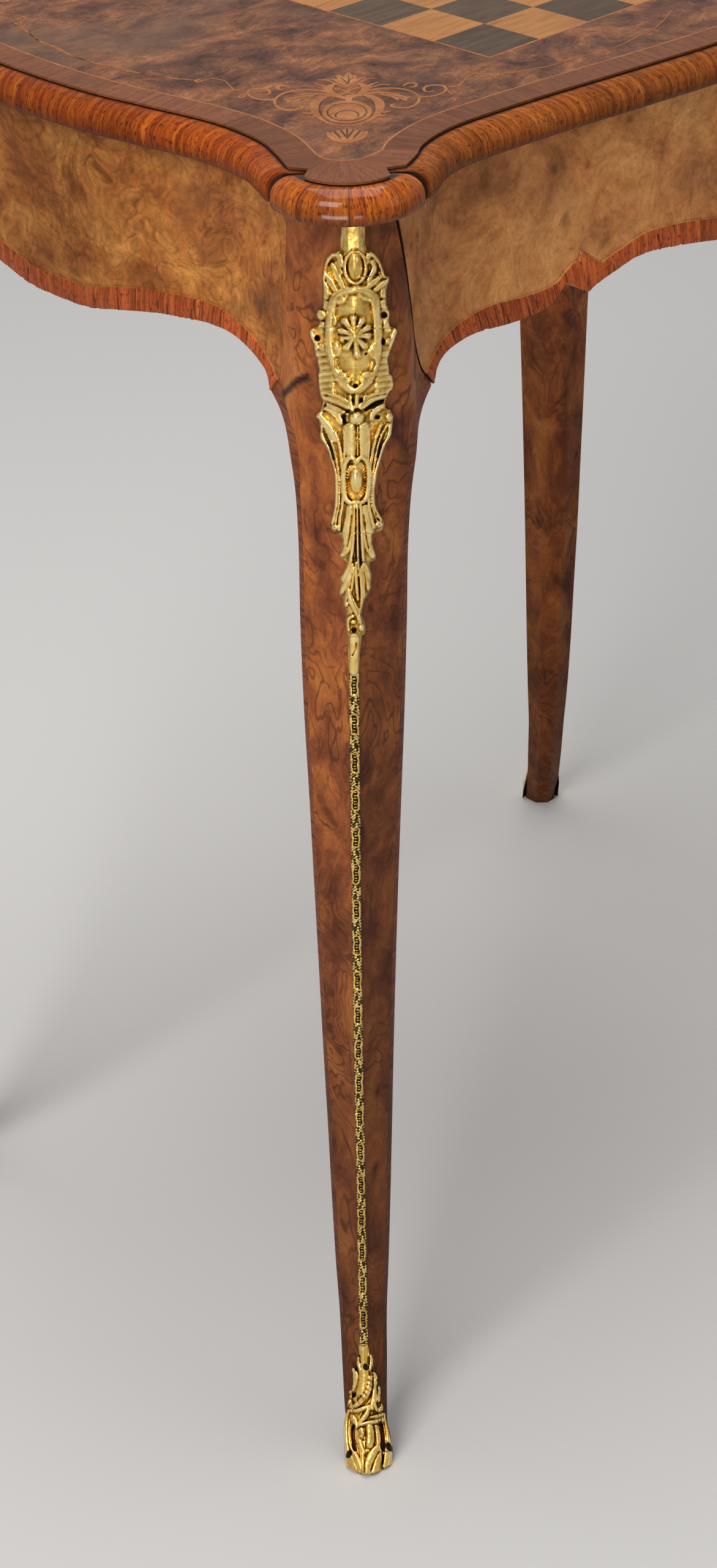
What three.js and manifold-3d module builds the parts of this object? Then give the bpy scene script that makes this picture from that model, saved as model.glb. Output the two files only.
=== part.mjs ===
// Games table: serpentine veneered top with an inlaid chessboard, one frieze drawer, gilt corner mounts.
// Millimetres, +Z up. The origin is on the floor below the middle of the top. The drawer opens to -Y.

import * as THREE from 'three';
import { mergeVertices } from 'three/addons/utils/BufferGeometryUtils.js';
import Module from 'manifold-3d';

const wasm = await Module();
wasm.setup();

// Overall
const tableHeight = 733;
const glueLine = 0.3; // kept between any two pieces that are glued or laid on each other
const runningGap = 1; // kept around the drawer where it moves
const overrun = 5; // how far a cutting solid reaches past what it cuts

// Plan of the veneered top: two wavy ends, a wavy front and back, four round corners
const topHalfLength = 285.2; // at the middle of an end
const topHalfDepth = 199.5; // at the middle of the front
const endSwell = 11; // how far an end's middle stands out past its waist
const frontSwell = 15.4; // the same for the front
const cornerRadius = 23.3;
const cornerSetback = new THREE.Vector2(13.2, 17.5); // corner's centre, in from the two half sizes
const arcFromDegrees = -6;
const arcToDegrees = 95;

// Each wave: place along the side as a share of its half length, then out as a share of its swell
const endWaveShares = [
  [0, 0], [0.2, -0.12], [0.38, -0.54], [0.585, -1], [0.747, -0.76], [0.847, -0.13], [0.94, 0.645],
];
const frontWaveShares = [
  [0, 0], [0.193, -0.13], [0.363, -0.41], [0.567, -0.79], [0.74, -1],
  [0.815, -0.91], [0.875, -0.6], [0.911, -0.22], [0.969, 0.234],
];
const endSteps = 28;
const frontSteps = 36;
const arcSteps = 6;

// Veneers and the ground that carries them
const veneer = 1;
const borderWidth = 15; // crossbanding round the top
const borderCornerRadius = 13.3;
const borderCornerShift = new THREE.Vector2(10, 12); // from the top's corner centre to the border's
const borderEase = 7; // how far short of the corner's round the waves stop along the front
const squareSize = 33.74;
const squaresAcross = 8;

// Cross-grained edge moulding, in eight pieces
const mouldingProud = 9.6; // past the edge of the veneer
const mouldingDepth = 15.8; // from the top surface to its underside
const mouldingStep = 1.3; // the veneer stands this far above it
const mouldingSeat = 6; // how far it reaches in under the veneer
const mouldingShares = [[0.05, 0], [0.42, 0.07], [0.75, 0.235], [0.94, 0.435], [1, 0.57], [0.89, 1]];
const neckInset = new THREE.Vector2(7.5, 4.4); // notch in the veneer, in from where the corner arc starts
const mitreLean = 55; // degrees that a mitre leans from square towards the middle of its side
const mitreOpening = 4; // degrees on each side of the mitre
const notchOpening = 48; // degrees on each side of the notch in the veneer

// Carcass
const faceSetback = 3; // from the edge of the veneer in to the faces of the aprons
const arrisInset = new THREE.Vector2(1.2, 2.5); // leg's front edge, in from the top's two half sizes
const apronThickness = 18; // at the thinnest place
const shoulder = tableHeight - mouldingDepth - glueLine; // top of the legs and aprons
const postSize = new THREE.Vector2(40, 50); // square part of a leg behind the faces
const postHeight = 112;

// Legs: a square section with a sharp front edge, narrow side chamfers and a broad inner one
const legWidth = 36.4;
const swayX = 23; // how far the front edge swings in, seen from the front
const swayY = 32; // the same, seen from an end
const sideChamferShare = 0.115;
const sideReturnShare = 0.04;
const innerChamferShare = 0.36;
// Height as a share of the shoulder, the two sways as shares, width as a share of legWidth
const legStationShares = [
  [0, -0.25, 0.096, 0.472], [0.046, 0.087, 0.361, 0.484], [0.074, 0.281, 0.502, 0.503],
  [0.116, 0.487, 0.657, 0.525], [0.158, 0.608, 0.743, 0.578], [0.213, 0.717, 0.813, 0.63],
  [0.283, 0.793, 0.856, 0.681], [0.353, 0.822, 0.871, 0.734], [0.423, 0.804, 0.842, 0.783],
  [0.492, 0.765, 0.796, 0.835], [0.562, 0.695, 0.722, 0.89], [0.632, 0.609, 0.64, 0.95],
  [0.702, 0.513, 0.544, 0.986], [0.771, 0.4, 0.425, 1], [0.813, 0.304, 0.325, 1.06],
  [0.841, 0.215, 0.24, 1.15], [0.869, 0.13, 0.156, 1.15], [0.925, 0.017, 0.025, 1.15], [1, 0, 0, 1.15],
];

// Lower edges, seen from the front and from an end: place from the middle, then drop below the top surface
const frontKneeWidth = 60.7; // from the leg's front edge in to the tip where apron and leg meet
const frontDrop = 114.5;
const endKneeWidth = 65;
const endDrop = 116.2;
const frontEdgeShares = [
  [0, 0.917], [0.09, 0.9], [0.18, 0.853], [0.296, 0.812], [0.394, 0.799], [0.452, 0.826], [0.488, 0.843],
  [0.541, 0.892], [0.602, 0.807], [0.626, 0.872], [0.674, 0.89], [0.74, 0.889], [0.829, 0.874],
  [0.901, 0.89], [0.957, 0.93], [1, 1],
];
const endEdgeShares = [
  [0, 0.916], [0.15, 0.911], [0.28, 0.878], [0.447, 0.843], [0.636, 0.828],
  [0.735, 0.833], [0.818, 0.862], [0.909, 0.909], [0.962, 0.953], [1, 1],
];
// The same curve carried on down the leg: out from the tip, then drop, both as shares of legWidth
const kneeShares = [[0.2, 0.17], [0.33, 0.34], [0.415, 0.53], [0.455, 0.71], [0.467, 0.85]];
const seamHeight = 8.7; // of the tip above the start of the straight seam
const seamOut = 7.8; // of that start out from the tip
const frontSeamWidth = 30; // how far the straight seam leans out to the top
const endSeamWidth = 17;

// Inside the carcass
const railDepth = 42;
const topRailThickness = 10.2;
const bearerThickness = 12;
const drawerHeight = 50;
const runnerWidth = 36;
const guideHeight = 12;
const tenonThickness = 8;
const tenonLength = 14;
const tenonHeight = 20;
const railTenonLength = 7;
const screwRadius = 2;
const screwHeadRadius = 3.8;
const screwHeadHeight = 2.4;
const screwReach = 9; // into the ground of the top
const screwPlace = 30; // in from each end of the kicker

// Drawer
const drawerSide = 10;
const drawerBackThickness = 8;
const drawerBottom = 6;
const bottomGroove = 5; // how deep the bottom sits in the sides
const bottomRise = 4; // of the bottom above the sides' lower edges
const drawerBackRoom = 28; // from the drawer's back to the inside of the back apron

// Gilt mounts
const mountTopGap = 0.7; // under the moulding
const mountHeight = 225;
const mountWidth = 25.6; // of each wing along its face at the widest place
const mountThickness = 5.5;
// Height as a share of mountHeight down from its top, wing width, edge and middle relief as shares
const mountStationShares = [
  [0, 0.287, 0.4, 0.6], [0.036, 0.287, 0.4, 0.6], [0.092, 0.61, 0.26, 0.9], [0.157, 0.75, 0.28, 0.8],
  [0.22, 0.83, 0.28, 1], [0.27, 1, 0.24, 1], [0.312, 0.88, 0.28, 0.95], [0.375, 0.88, 0.28, 0.75],
  [0.416, 0.8, 0.32, 1], [0.471, 0.85, 0.36, 0.7], [0.504, 0.707, 0.4, 0.7], [0.557, 0.543, 0.4, 0.95],
  [0.626, 0.543, 0.4, 0.7], [0.692, 0.625, 0.36, 0.7], [0.744, 0.418, 0.34, 0.65], [0.813, 0.383, 0.34, 0.65],
  [0.874, 0.19, 0.3, 0.45], [0.912, 0.23, 0.36, 0.5], [0.947, 0.13, 0.3, 0.42], [1, 0.13, 0.3, 0.4],
];
const stripWidth = 2.6;
const stripThickness = 1.3;
const stripGap = 0.5; // to the mount above and the sabot below
const sabotHeight = 74;
const sabotThickness = 2.6;
const sabotLift = 0.5;
// Height as a share of sabotHeight, wing width as a share of the leg's width, edge and middle relief as shares
const sabotStationShares = [
  [0, 0.985, 0.8, 0.45], [0.06, 0.985, 0.8, 1], [0.25, 0.985, 0.35, 0.9], [0.45, 0.985, 0.35, 0.8],
  [0.58, 0.87, 0.4, 0.9], [0.7, 0.55, 0.5, 1], [0.84, 0.33, 0.5, 0.8], [1, 0.16, 0.5, 0.6],
];
const windowHalfWidthShare = 0.1; // of the leg's width
const windowPlaceShare = 0.5; // of the leg's width, in from its front edge
const windowSpanShares = [0.11, 0.31]; // of sabotHeight

function lookOf(color, roughness, metalness) {
  return new THREE.MeshStandardMaterial({ color, roughness, metalness });
}
const burrWalnut = lookOf(0x7a5540, 0.35, 0);
const apronWalnut = lookOf(0x9c6d3f, 0.35, 0);
const legWalnut = lookOf(0x8a5330, 0.35, 0);
const tulipwood = lookOf(0x96594a, 0.35, 0);
const mouldingWood = lookOf(0xa85a22, 0.3, 0);
const boardWood = lookOf(0x926f50, 0.35, 0);
const groundWood = lookOf(0x8c6a48, 0.7, 0);
const oak = lookOf(0xa98558, 0.65, 0);
const giltBrass = lookOf(0xc8a85a, 0.35, 1);
const steel = lookOf(0x77746e, 0.5, 1);

const table = new THREE.Group();
const degrees = Math.PI / 180;

// Geometry to solid and back, for joining and cutting
function solidOf(geometry) {
  const bare = geometry.clone();
  bare.deleteAttribute('normal');
  bare.deleteAttribute('uv');
  const merged = mergeVertices(bare);
  const mesh = new wasm.Mesh({
    numProp: 3,
    vertProperties: new Float32Array(merged.attributes.position.array),
    triVerts: new Uint32Array(merged.index.array),
  });
  return new wasm.Manifold(mesh);
}

function geometryOf(solid) {
  const mesh = solid.getMesh();
  const geometry = new THREE.BufferGeometry();
  geometry.setAttribute('position', new THREE.BufferAttribute(new Float32Array(mesh.vertProperties), 3));
  geometry.setIndex(new THREE.BufferAttribute(new Uint32Array(mesh.triVerts), 1));
  geometry.computeVertexNormals();
  return geometry;
}

function place(name, geometry, material) {
  const mesh = new THREE.Mesh(geometry, material);
  mesh.name = name;
  table.add(mesh);
}

// Mirrors a geometry into another quarter of the table; one flip turns the faces round
function quarterOf(geometry, signX, signY) {
  const copy = geometry.clone().applyMatrix4(new THREE.Matrix4().makeScale(signX, signY, 1));
  if (signX * signY < 0) {
    const order = copy.index.array;
    for (let i = 0; i < order.length; i += 3) {
      const kept = order[i];
      order[i] = order[i + 1];
      order[i + 1] = kept;
    }
  }
  copy.computeVertexNormals();
  return copy;
}

const quarters = [
  ['back_right', 1, 1], ['back_left', -1, 1], ['front_left', -1, -1], ['front_right', 1, -1],
];

function placeInQuarters(name, geometry, material) {
  for (const [corner, signX, signY] of quarters) {
    place(`${name}_${corner}`, quarterOf(geometry, signX, signY), material);
  }
}

// Upright prism of a plan outline
function slab(outline, low, high, holes = []) {
  const shape = new THREE.Shape(outline);
  shape.holes = holes.map((hole) => new THREE.Path(hole));
  const geometry = new THREE.ExtrudeGeometry(shape, { depth: high - low, bevelEnabled: false });
  return solidOf(geometry.translate(0, 0, low));
}

// Prism of an outline seen from the front, running along Y
function frontPrism(outline, low, high) {
  const shape = new THREE.Shape(outline);
  const geometry = new THREE.ExtrudeGeometry(shape, { depth: high - low, bevelEnabled: false });
  return solidOf(geometry.rotateX(Math.PI / 2).translate(0, high, 0));
}

// Prism of an outline seen from an end (first coordinate along Y), running along X
function endPrism(outline, low, high) {
  const shape = new THREE.Shape(outline);
  const geometry = new THREE.ExtrudeGeometry(shape, { depth: high - low, bevelEnabled: false });
  return solidOf(geometry.rotateX(Math.PI / 2).rotateZ(Math.PI / 2).translate(low, 0, 0));
}

function block(lowX, lowY, lowZ, highX, highY, highZ) {
  const geometry = new THREE.BoxGeometry(highX - lowX, highY - lowY, highZ - lowZ);
  return solidOf(geometry.translate((lowX + highX) / 2, (lowY + highY) / 2, (lowZ + highZ) / 2));
}

// Skin through rings of equal point counts: a unit cylinder whose rows take the rings' places.
// Each ring runs anticlockwise seen from above, and hubs are the middles of the two caps.
function skin(rings, hubs) {
  const sides = rings[0].length;
  const geometry = new THREE.CylinderGeometry(1, 1, 1, sides, rings.length - 1);
  geometry.deleteAttribute('normal');
  geometry.deleteAttribute('uv');
  const position = geometry.attributes.position;
  const rowOf = (y) => Math.round((0.5 - y) * (rings.length - 1));
  const sideOf = (x, z) => Math.round((Math.atan2(x, z) / (2 * Math.PI)) * sides + sides) % sides;
  for (let i = 0; i < position.count; i += 1) {
    const row = rowOf(position.getY(i));
    const onAxis = Math.hypot(position.getX(i), position.getZ(i)) < 1 / 2;
    const point = onAxis ? hubs[row === 0 ? 0 : 1] : rings[row][sideOf(position.getX(i), position.getZ(i))];
    position.setXYZ(i, point.x, point.y, point.z);
  }
  return mergeVertices(geometry);
}

// Plan outline of the top
const cornerCentre = new THREE.Vector2(topHalfLength, topHalfDepth).sub(cornerSetback);
function fromAngle(angle, length) {
  return new THREE.Vector2(length * Math.cos(angle * degrees), length * Math.sin(angle * degrees));
}
const onArc = (angle) => fromAngle(angle, cornerRadius).add(cornerCentre);
const arcStart = onArc(arcFromDegrees);
const arcEnd = onArc(arcToDegrees);

// A whole side from its wave: [along, out] pairs, mirrored about the middle
function sidePoints(shares, halfSpan, middleOut, swell, endOut, steps) {
  const half = shares.map(([along, out]) => new THREE.Vector2(halfSpan * along, middleOut + swell * out));
  half.push(new THREE.Vector2(halfSpan, endOut));
  const mirrored = half.slice(1).reverse().map((point) => new THREE.Vector2(-point.x, point.y));
  return new THREE.SplineCurve([...mirrored, ...half]).getPoints(steps);
}

const endLine = sidePoints(endWaveShares, arcStart.y, topHalfLength, endSwell, arcStart.x, endSteps);
const frontLine = sidePoints(frontWaveShares, arcEnd.x, topHalfDepth, frontSwell, arcEnd.y, frontSteps);
const cornerLine = [];
for (let i = 1; i < arcSteps; i += 1) {
  cornerLine.push(onArc(arcFromDegrees + ((arcToDegrees - arcFromDegrees) * i) / arcSteps));
}

// Anticlockwise loop of points with outward normals: end, corner, back, corner, then round again
const loop = [];
for (const sign of [1, -1]) {
  const sign2 = -sign;
  endLine.forEach((p) => loop.push({ kind: 'end', at: new THREE.Vector2(sign * p.y, sign * p.x) }));
  cornerLine.forEach((p) => loop.push({ kind: 'corner', at: new THREE.Vector2(sign * p.x, sign * p.y) }));
  frontLine.forEach((p) => loop.push({ kind: 'front', at: new THREE.Vector2(sign2 * p.x, sign * p.y) }));
  const other = [...cornerLine].reverse();
  other.forEach((p) => loop.push({ kind: 'corner', at: new THREE.Vector2(sign2 * p.x, sign * p.y) }));
}
loop.forEach((entry, i) => {
  const before = loop[(i + loop.length - 1) % loop.length].at;
  const after = loop[(i + 1) % loop.length].at;
  entry.normal = new THREE.Vector2(after.y - before.y, before.x - after.x).normalize();
});
const outlineAt = (out) => loop.map(({ at, normal }) => at.clone().addScaledVector(normal, out));

// Ground, crossbanded border, burr field and chessboard
const boardHalf = (squareSize * squaresAcross) / 2;
const veneerBottom = tableHeight - veneer;
const groundTop = veneerBottom - glueLine;
const groundBottom = tableHeight - mouldingDepth;
const groundEdge = outlineAt(-(mouldingSeat + glueLine));

// Insides of the carcass, the posts' inner faces, and the struts from the front rails to the back posts
const arris = new THREE.Vector2(topHalfLength, topHalfDepth).sub(arrisInset);
const endInner = topHalfLength - endSwell - faceSetback - apronThickness;
const frontInner = topHalfDepth - frontSwell - faceSetback - apronThickness;
const postInnerX = arris.x - postSize.x;
const postInnerY = arris.y - postSize.y;
const railFront = frontInner - glueLine - runningGap / 2;
const railBack = railFront - railDepth;
const strutFront = -(railBack - glueLine);
const strutBack = postInnerY - glueLine;

const kickerScrews = [];
const kickerX = endInner - glueLine - runnerWidth / 2;
for (const x of [-kickerX, kickerX]) {
  for (const y of [strutFront + screwPlace, strutBack - screwPlace]) {
    kickerScrews.push(new THREE.Vector2(x, y));
  }
}
function upright(at, radius, low, high) {
  const geometry = new THREE.CylinderGeometry(radius, radius, high - low, arcSteps * 2);
  return solidOf(geometry.rotateX(Math.PI / 2).translate(at.x, at.y, (low + high) / 2));
}

let ground = slab(groundEdge, groundBottom, groundTop);
const screwHoleTop = groundBottom + screwReach + glueLine;
for (const at of kickerScrews) {
  ground = ground.subtract(upright(at, screwRadius + glueLine, groundBottom - overrun, screwHoleTop));
}
place('top_ground', geometryOf(ground), groundWood);

// Inner edge of the border: the waves drawn in, joined by a tighter round at each corner
const borderCentre = cornerCentre.clone().sub(borderCornerShift);
function withinBorder({ kind, at, normal }) {
  const inner = at.clone().addScaledVector(normal, -borderWidth);
  const alongEnd = kind === 'end' && Math.abs(inner.y) < borderCentre.y;
  const alongFront = kind === 'front' && Math.abs(inner.x) < borderCentre.x - borderEase;
  return alongEnd || alongFront;
}
function borderEdge(out) {
  const points = [];
  for (const [i, entry] of loop.entries()) {
    if (withinBorder(entry)) {
      points.push(entry.at.clone().addScaledVector(entry.normal, out - borderWidth));
    }
    const next = loop[(i + 1) % loop.length];
    if (entry.kind !== 'corner' && next.kind === 'corner') {
      const signX = Math.sign(next.at.x);
      const signY = Math.sign(next.at.y);
      const middle = Math.atan2(signY, signX);
      for (let k = 0; k <= arcSteps; k += 1) {
        const turn = middle + (Math.PI / 2) * (k / arcSteps - 1 / 2);
        const reach = borderCornerRadius + out;
        points.push(new THREE.Vector2(
          borderCentre.x * signX + reach * Math.cos(turn), borderCentre.y * signY + reach * Math.sin(turn),
        ));
      }
    }
  }
  return points;
}

// The notch in the veneer at each neck, and the mitre of the moulding that starts there
const neckOf = {
  end: new THREE.Vector2(arcStart.x - neckInset.x, arcStart.y - neckInset.y),
  front: new THREE.Vector2(arcEnd.x - neckInset.y, arcEnd.y - neckInset.x),
};
const rayFrom = (neck, angle, length) => fromAngle(angle, length).add(neck);
const farOut = cornerRadius * 2;
const notchTurn = mitreLean / 4;

let border = slab(outlineAt(0), veneerBottom, tableHeight, [borderEdge(0)]);
for (const [, signX, signY] of quarters) {
  for (const [neck, facing] of [[neckOf.end, -notchTurn], [neckOf.front, 90 + notchTurn]]) {
    const low = rayFrom(neck, facing - notchOpening, farOut);
    const high = rayFrom(neck, facing + notchOpening, farOut);
    const corners = [neck, low, high].map((p) => new THREE.Vector2(p.x * signX, p.y * signY));
    border = border.subtract(slab(corners, veneerBottom - overrun, tableHeight + overrun));
  }
}
place('top_crossbanding', geometryOf(border), tulipwood);

const squareOutline = (half) => [
  new THREE.Vector2(-half, -half), new THREE.Vector2(half, -half),
  new THREE.Vector2(half, half), new THREE.Vector2(-half, half),
];
const field = slab(borderEdge(-glueLine), veneerBottom, tableHeight, [squareOutline(boardHalf + glueLine)]);
place('top_burr_field', geometryOf(field), burrWalnut);
place('chessboard', geometryOf(slab(squareOutline(boardHalf), veneerBottom, tableHeight)), boardWood);

// Edge moulding: its section carried round the outline, then cut at the mitres
function mouldingRun(entries) {
  const rings = entries.map(({ at, normal }) => {
    const point = (out, drop) => {
      const plan = at.clone().addScaledVector(normal, out);
      return new THREE.Vector3(plan.x, plan.y, tableHeight - drop);
    };
    const ring = [point(-mouldingSeat, mouldingDepth), point(-mouldingSeat, mouldingStep)];
    for (const [out, down] of mouldingShares) {
      ring.push(point(mouldingProud * out, mouldingStep + (mouldingDepth - mouldingStep) * down));
    }
    return ring.reverse();
  });
  const hub = (ring) => ring.reduce((sum, p) => sum.add(p), new THREE.Vector3()).divideScalar(ring.length);
  return solidOf(skin(rings, [hub(rings[0]), hub(rings[rings.length - 1])]));
}

function stretch(first, count) {
  return Array.from({ length: count }, (_, i) => loop[(first + i + loop.length) % loop.length]);
}
const endCount = endLine.length;
const cornerCount = cornerLine.length;
const frontCount = frontLine.length;
const mouldingLow = tableHeight - mouldingDepth - overrun;
const lap = 5; // points of the outline that a run takes from its neighbours before it is cut

// One side of a mitre: inside the seat, at the neck, then out past the moulding
function mitreLine(neck, lean, side) {
  const start = neck.clone().add(fromAngle(lean + side * 90, glueLine / 2));
  return [
    rayFrom(start, lean + 180, mouldingSeat * 2), start, rayFrom(start, lean + side * mitreOpening, farOut),
  ];
}
const acrossX = (points) => points.map((p) => new THREE.Vector2(-p.x, p.y)).reverse();
const acrossY = (points) => points.map((p) => new THREE.Vector2(p.x, -p.y)).reverse();
const endMitre = mitreLine(neckOf.end, -mitreLean, -1);
const frontMitre = mitreLine(neckOf.front, 90 + mitreLean, 1);
const endDeep = new THREE.Vector2(topHalfLength - farOut, endMitre[0].y);
const frontDeep = new THREE.Vector2(frontMitre[0].x, topHalfDepth - farOut);
const endSpan = [endDeep, ...endMitre];
const frontSpan = [frontDeep, ...frontMitre];
const endCut = slab([...endSpan, ...acrossY(endSpan)], mouldingLow, tableHeight + overrun);
const frontCut = slab([...frontSpan, ...acrossX(frontSpan)], mouldingLow, tableHeight + overrun);
const endMoulding = mouldingRun(stretch(-1, endCount + 2)).intersect(endCut);
const backMoulding = mouldingRun(stretch(endCount + cornerCount - 1, frontCount + 2)).intersect(frontCut);
place('moulding_right', geometryOf(endMoulding), mouldingWood);
place('moulding_left', geometryOf(endMoulding).rotateZ(Math.PI), mouldingWood);
place('moulding_back', geometryOf(backMoulding), mouldingWood);
place('moulding_front', geometryOf(backMoulding).rotateZ(Math.PI), mouldingWood);

const cornerPlan = [
  ...mitreLine(neckOf.end, -mitreLean, 1),
  cornerCentre.clone().addScalar(farOut * 2),
  ...mitreLine(neckOf.front, 90 + mitreLean, -1).reverse(),
];
const cornerRun = mouldingRun(stretch(endCount - lap, cornerCount + 2 * lap));
const cornerMoulding = cornerRun.intersect(slab(cornerPlan, mouldingLow, tableHeight + overrun));
placeInQuarters('moulding_corner', geometryOf(cornerMoulding), mouldingWood);

// Faces of the carcass: the outline drawn in, kept inside the legs' front edges
const carcass = slab(outlineAt(-faceSetback), 0, shoulder)
  .intersect(block(-arris.x, -arris.y, -overrun, arris.x, arris.y, tableHeight));

// Leg line: front edge and width at any height, straight between the stations
const legStations = legStationShares.map(([height, x, y, width]) => ({
  z: shoulder * height,
  x: arris.x - swayX * x,
  y: arris.y - swayY * y,
  width: legWidth * width,
}));
function legAt(z) {
  const next = Math.max(1, legStations.findIndex((station) => station.z >= z));
  const low = legStations[next - 1];
  const high = legStations[next];
  const t = (z - low.z) / (high.z - low.z);
  const mix = (key) => low[key] + (high[key] - low[key]) * t;
  return { z, x: mix('x'), y: mix('y'), width: mix('width') };
}

function legRing({ z, x, y, width }) {
  const chamfer = width * sideChamferShare;
  const back = width * sideReturnShare;
  const inner = width * innerChamferShare;
  return [
    [0, 0], [0, width - chamfer], [back, width], [width - inner, width],
    [width, width - inner], [width, back], [width - chamfer, 0],
  ].map(([inX, inY]) => new THREE.Vector3(x - inX, y - inY, z)).reverse();
}
const middleOf = ({ z, x, y, width }) => new THREE.Vector3(x - width / 2, y - width / 2, z);
const topDown = [...legStations].reverse();
const legColumn = solidOf(skin(
  topDown.map((station) => legRing(station)),
  [middleOf(topDown[0]), middleOf(topDown[topDown.length - 1])],
));

// Edges where an apron meets the leg: seam, tip, then the curve down the leg
const kneePoints = (reach, drop) => kneeShares.map(([out, down]) => (
  new THREE.Vector2(reach + legWidth * out, tableHeight - drop - legWidth * down)
));
function wingOutline(reach, drop, lean, outer) {
  const knee = kneePoints(reach, drop);
  const tip = new THREE.Vector2(reach, tableHeight - drop);
  const low = knee[knee.length - 1];
  return [
    new THREE.Vector2(outer, low.y), new THREE.Vector2(outer, shoulder),
    new THREE.Vector2(reach + seamOut + lean, shoulder),
    new THREE.Vector2(reach + seamOut, tip.y + seamHeight), tip, ...knee,
  ];
}
function apronOutline(shares, reach, drop, lean, gap, top) {
  const right = shares.map(([out, down]) => (
    new THREE.Vector2((reach - gap) * out, tableHeight - drop * down)
  ));
  right.push(new THREE.Vector2(reach + seamOut - gap, tableHeight - drop + seamHeight));
  right.push(new THREE.Vector2(reach + seamOut + lean - gap, top));
  const left = right.slice(1).reverse().map((point) => new THREE.Vector2(-point.x, point.y));
  return [...right, ...left];
}

const frontReach = arris.x - frontKneeWidth; // from the middle to the tip
const endReach = arris.y - endKneeWidth;
const outerX = arris.x + overrun;
const outerY = arris.y + overrun;
const kneeLimit = (key, limit) => [
  new THREE.Vector2(0, 0),
  ...legStations.map((station) => new THREE.Vector2(Math.min(station[key], limit), station.z)),
  new THREE.Vector2(0, shoulder),
];
const withinX = frontPrism(kneeLimit('x', arris.x), 0, outerY);
const withinY = endPrism(kneeLimit('y', arris.y), 0, outerX);
const frontWingOutline = wingOutline(frontReach, frontDrop, frontSeamWidth, outerX);
const endWingOutline = wingOutline(endReach, endDrop, endSeamWidth, outerY);
const frontWing = carcass.intersect(frontPrism(frontWingOutline, frontInner, outerY));
const endWing = carcass.intersect(endPrism(endWingOutline, endInner, outerX));
const wings = frontWing.add(endWing).intersect(withinX).intersect(withinY);
const post = block(
  arris.x - postSize.x, arris.y - postSize.y, shoulder - postHeight,
  arris.x, arris.y, shoulder,
).intersect(carcass).intersect(withinX).intersect(withinY);

// Places left free in the leg for the apron or drawer front
const freeOutline = (reach, drop, lean) => [
  new THREE.Vector2(0, tableHeight - drop),
  new THREE.Vector2(reach, tableHeight - drop),
  new THREE.Vector2(reach + seamOut, tableHeight - drop + seamHeight),
  new THREE.Vector2(reach + seamOut + lean, shoulder),
  new THREE.Vector2(reach + seamOut + lean, shoulder + overrun),
  new THREE.Vector2(0, shoulder + overrun),
];
const frontFree = freeOutline(frontReach, frontDrop, frontSeamWidth);
const endFree = freeOutline(endReach, endDrop, endSeamWidth);
const freeFront = frontPrism(frontFree, frontInner - glueLine, outerY);
const freeEnd = endPrism(endFree, endInner - glueLine, outerX);

const endTenonLow = shoulder - drawerHeight - topRailThickness;
const backTenonLow = endTenonLow + tenonHeight + tenonThickness / 2;
const endTenonX = endInner + (apronThickness - tenonThickness) / 2;
const backTenonY = frontInner + (apronThickness - tenonThickness) / 2;
// How far a seam stands out from the middle at a height
function seamAt(reach, drop, lean, z) {
  const start = tableHeight - drop + seamHeight;
  return reach + seamOut + (lean * (z - start)) / (shoulder - start);
}
const endTenonTip = seamAt(endReach, endDrop, endSeamWidth, endTenonLow + tenonHeight) + tenonLength;
const backTenonTip = seamAt(frontReach, frontDrop, frontSeamWidth, backTenonLow + tenonHeight) + tenonLength;
const endTenon = (grow) => block(
  endTenonX - grow, endReach, endTenonLow - grow,
  endTenonX + tenonThickness + grow, endTenonTip + grow, endTenonLow + tenonHeight + grow,
);
const backTenon = (grow) => block(
  frontReach, backTenonY - grow, backTenonLow - grow,
  backTenonTip + grow, backTenonY + tenonThickness + grow, backTenonLow + tenonHeight + grow,
);

// Rails across the front, tenoned into the front posts
const topRailLow = shoulder - topRailThickness;
const bearerTop = topRailLow - runningGap - drawerHeight;
const bearerLow = bearerTop - bearerThickness;
const railTenonX = postInnerX + railTenonLength;
const railTenonBack = postInnerY + glueLine * 2;
const railEndX = postInnerX - glueLine;
const railTenons = (grow, low, high) => block(
  postInnerX - overrun, railTenonBack - grow, low - grow,
  railTenonX + grow, railFront - glueLine * 2 + grow, high + grow,
);
const topRailTenonLow = topRailLow + topRailThickness / 4;
const bearerTenonLow = bearerLow + bearerThickness / 4;
const bearerTenonHigh = bearerTop - bearerThickness / 4;

const legBlock = legColumn.add(wings).add(post).subtract(freeFront).subtract(freeEnd);
const backLeg = legBlock.subtract(endTenon(glueLine)).subtract(backTenon(glueLine));
const frontLeg = legBlock.subtract(endTenon(glueLine))
  .subtract(railTenons(glueLine, topRailTenonLow, shoulder + overrun))
  .subtract(railTenons(glueLine, bearerTenonLow, bearerTenonHigh));
for (const [corner, signX, signY] of quarters) {
  place(`leg_${corner}`, quarterOf(geometryOf(signY > 0 ? backLeg : frontLeg), signX, signY), legWalnut);
}

// Aprons at the two ends and the back
const mirrorX = (solid) => solidOf(quarterOf(geometryOf(solid), -1, 1));
const mirrorY = (solid) => solidOf(quarterOf(geometryOf(solid), 1, -1));
const endOutline = apronOutline(endEdgeShares, endReach, endDrop, endSeamWidth, glueLine, shoulder);
const endApron = carcass.intersect(endPrism(endOutline, endInner, outerX))
  .add(endTenon(0)).add(mirrorY(endTenon(0)));
place('apron_right', geometryOf(endApron), apronWalnut);
place('apron_left', geometryOf(endApron).rotateZ(Math.PI), apronWalnut);
const backOutline = apronOutline(frontEdgeShares, frontReach, frontDrop, frontSeamWidth, glueLine, shoulder);
const backApron = carcass.intersect(frontPrism(backOutline, frontInner, outerY))
  .add(backTenon(0)).add(mirrorX(backTenon(0)));
place('apron_back', geometryOf(backApron), apronWalnut);

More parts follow.
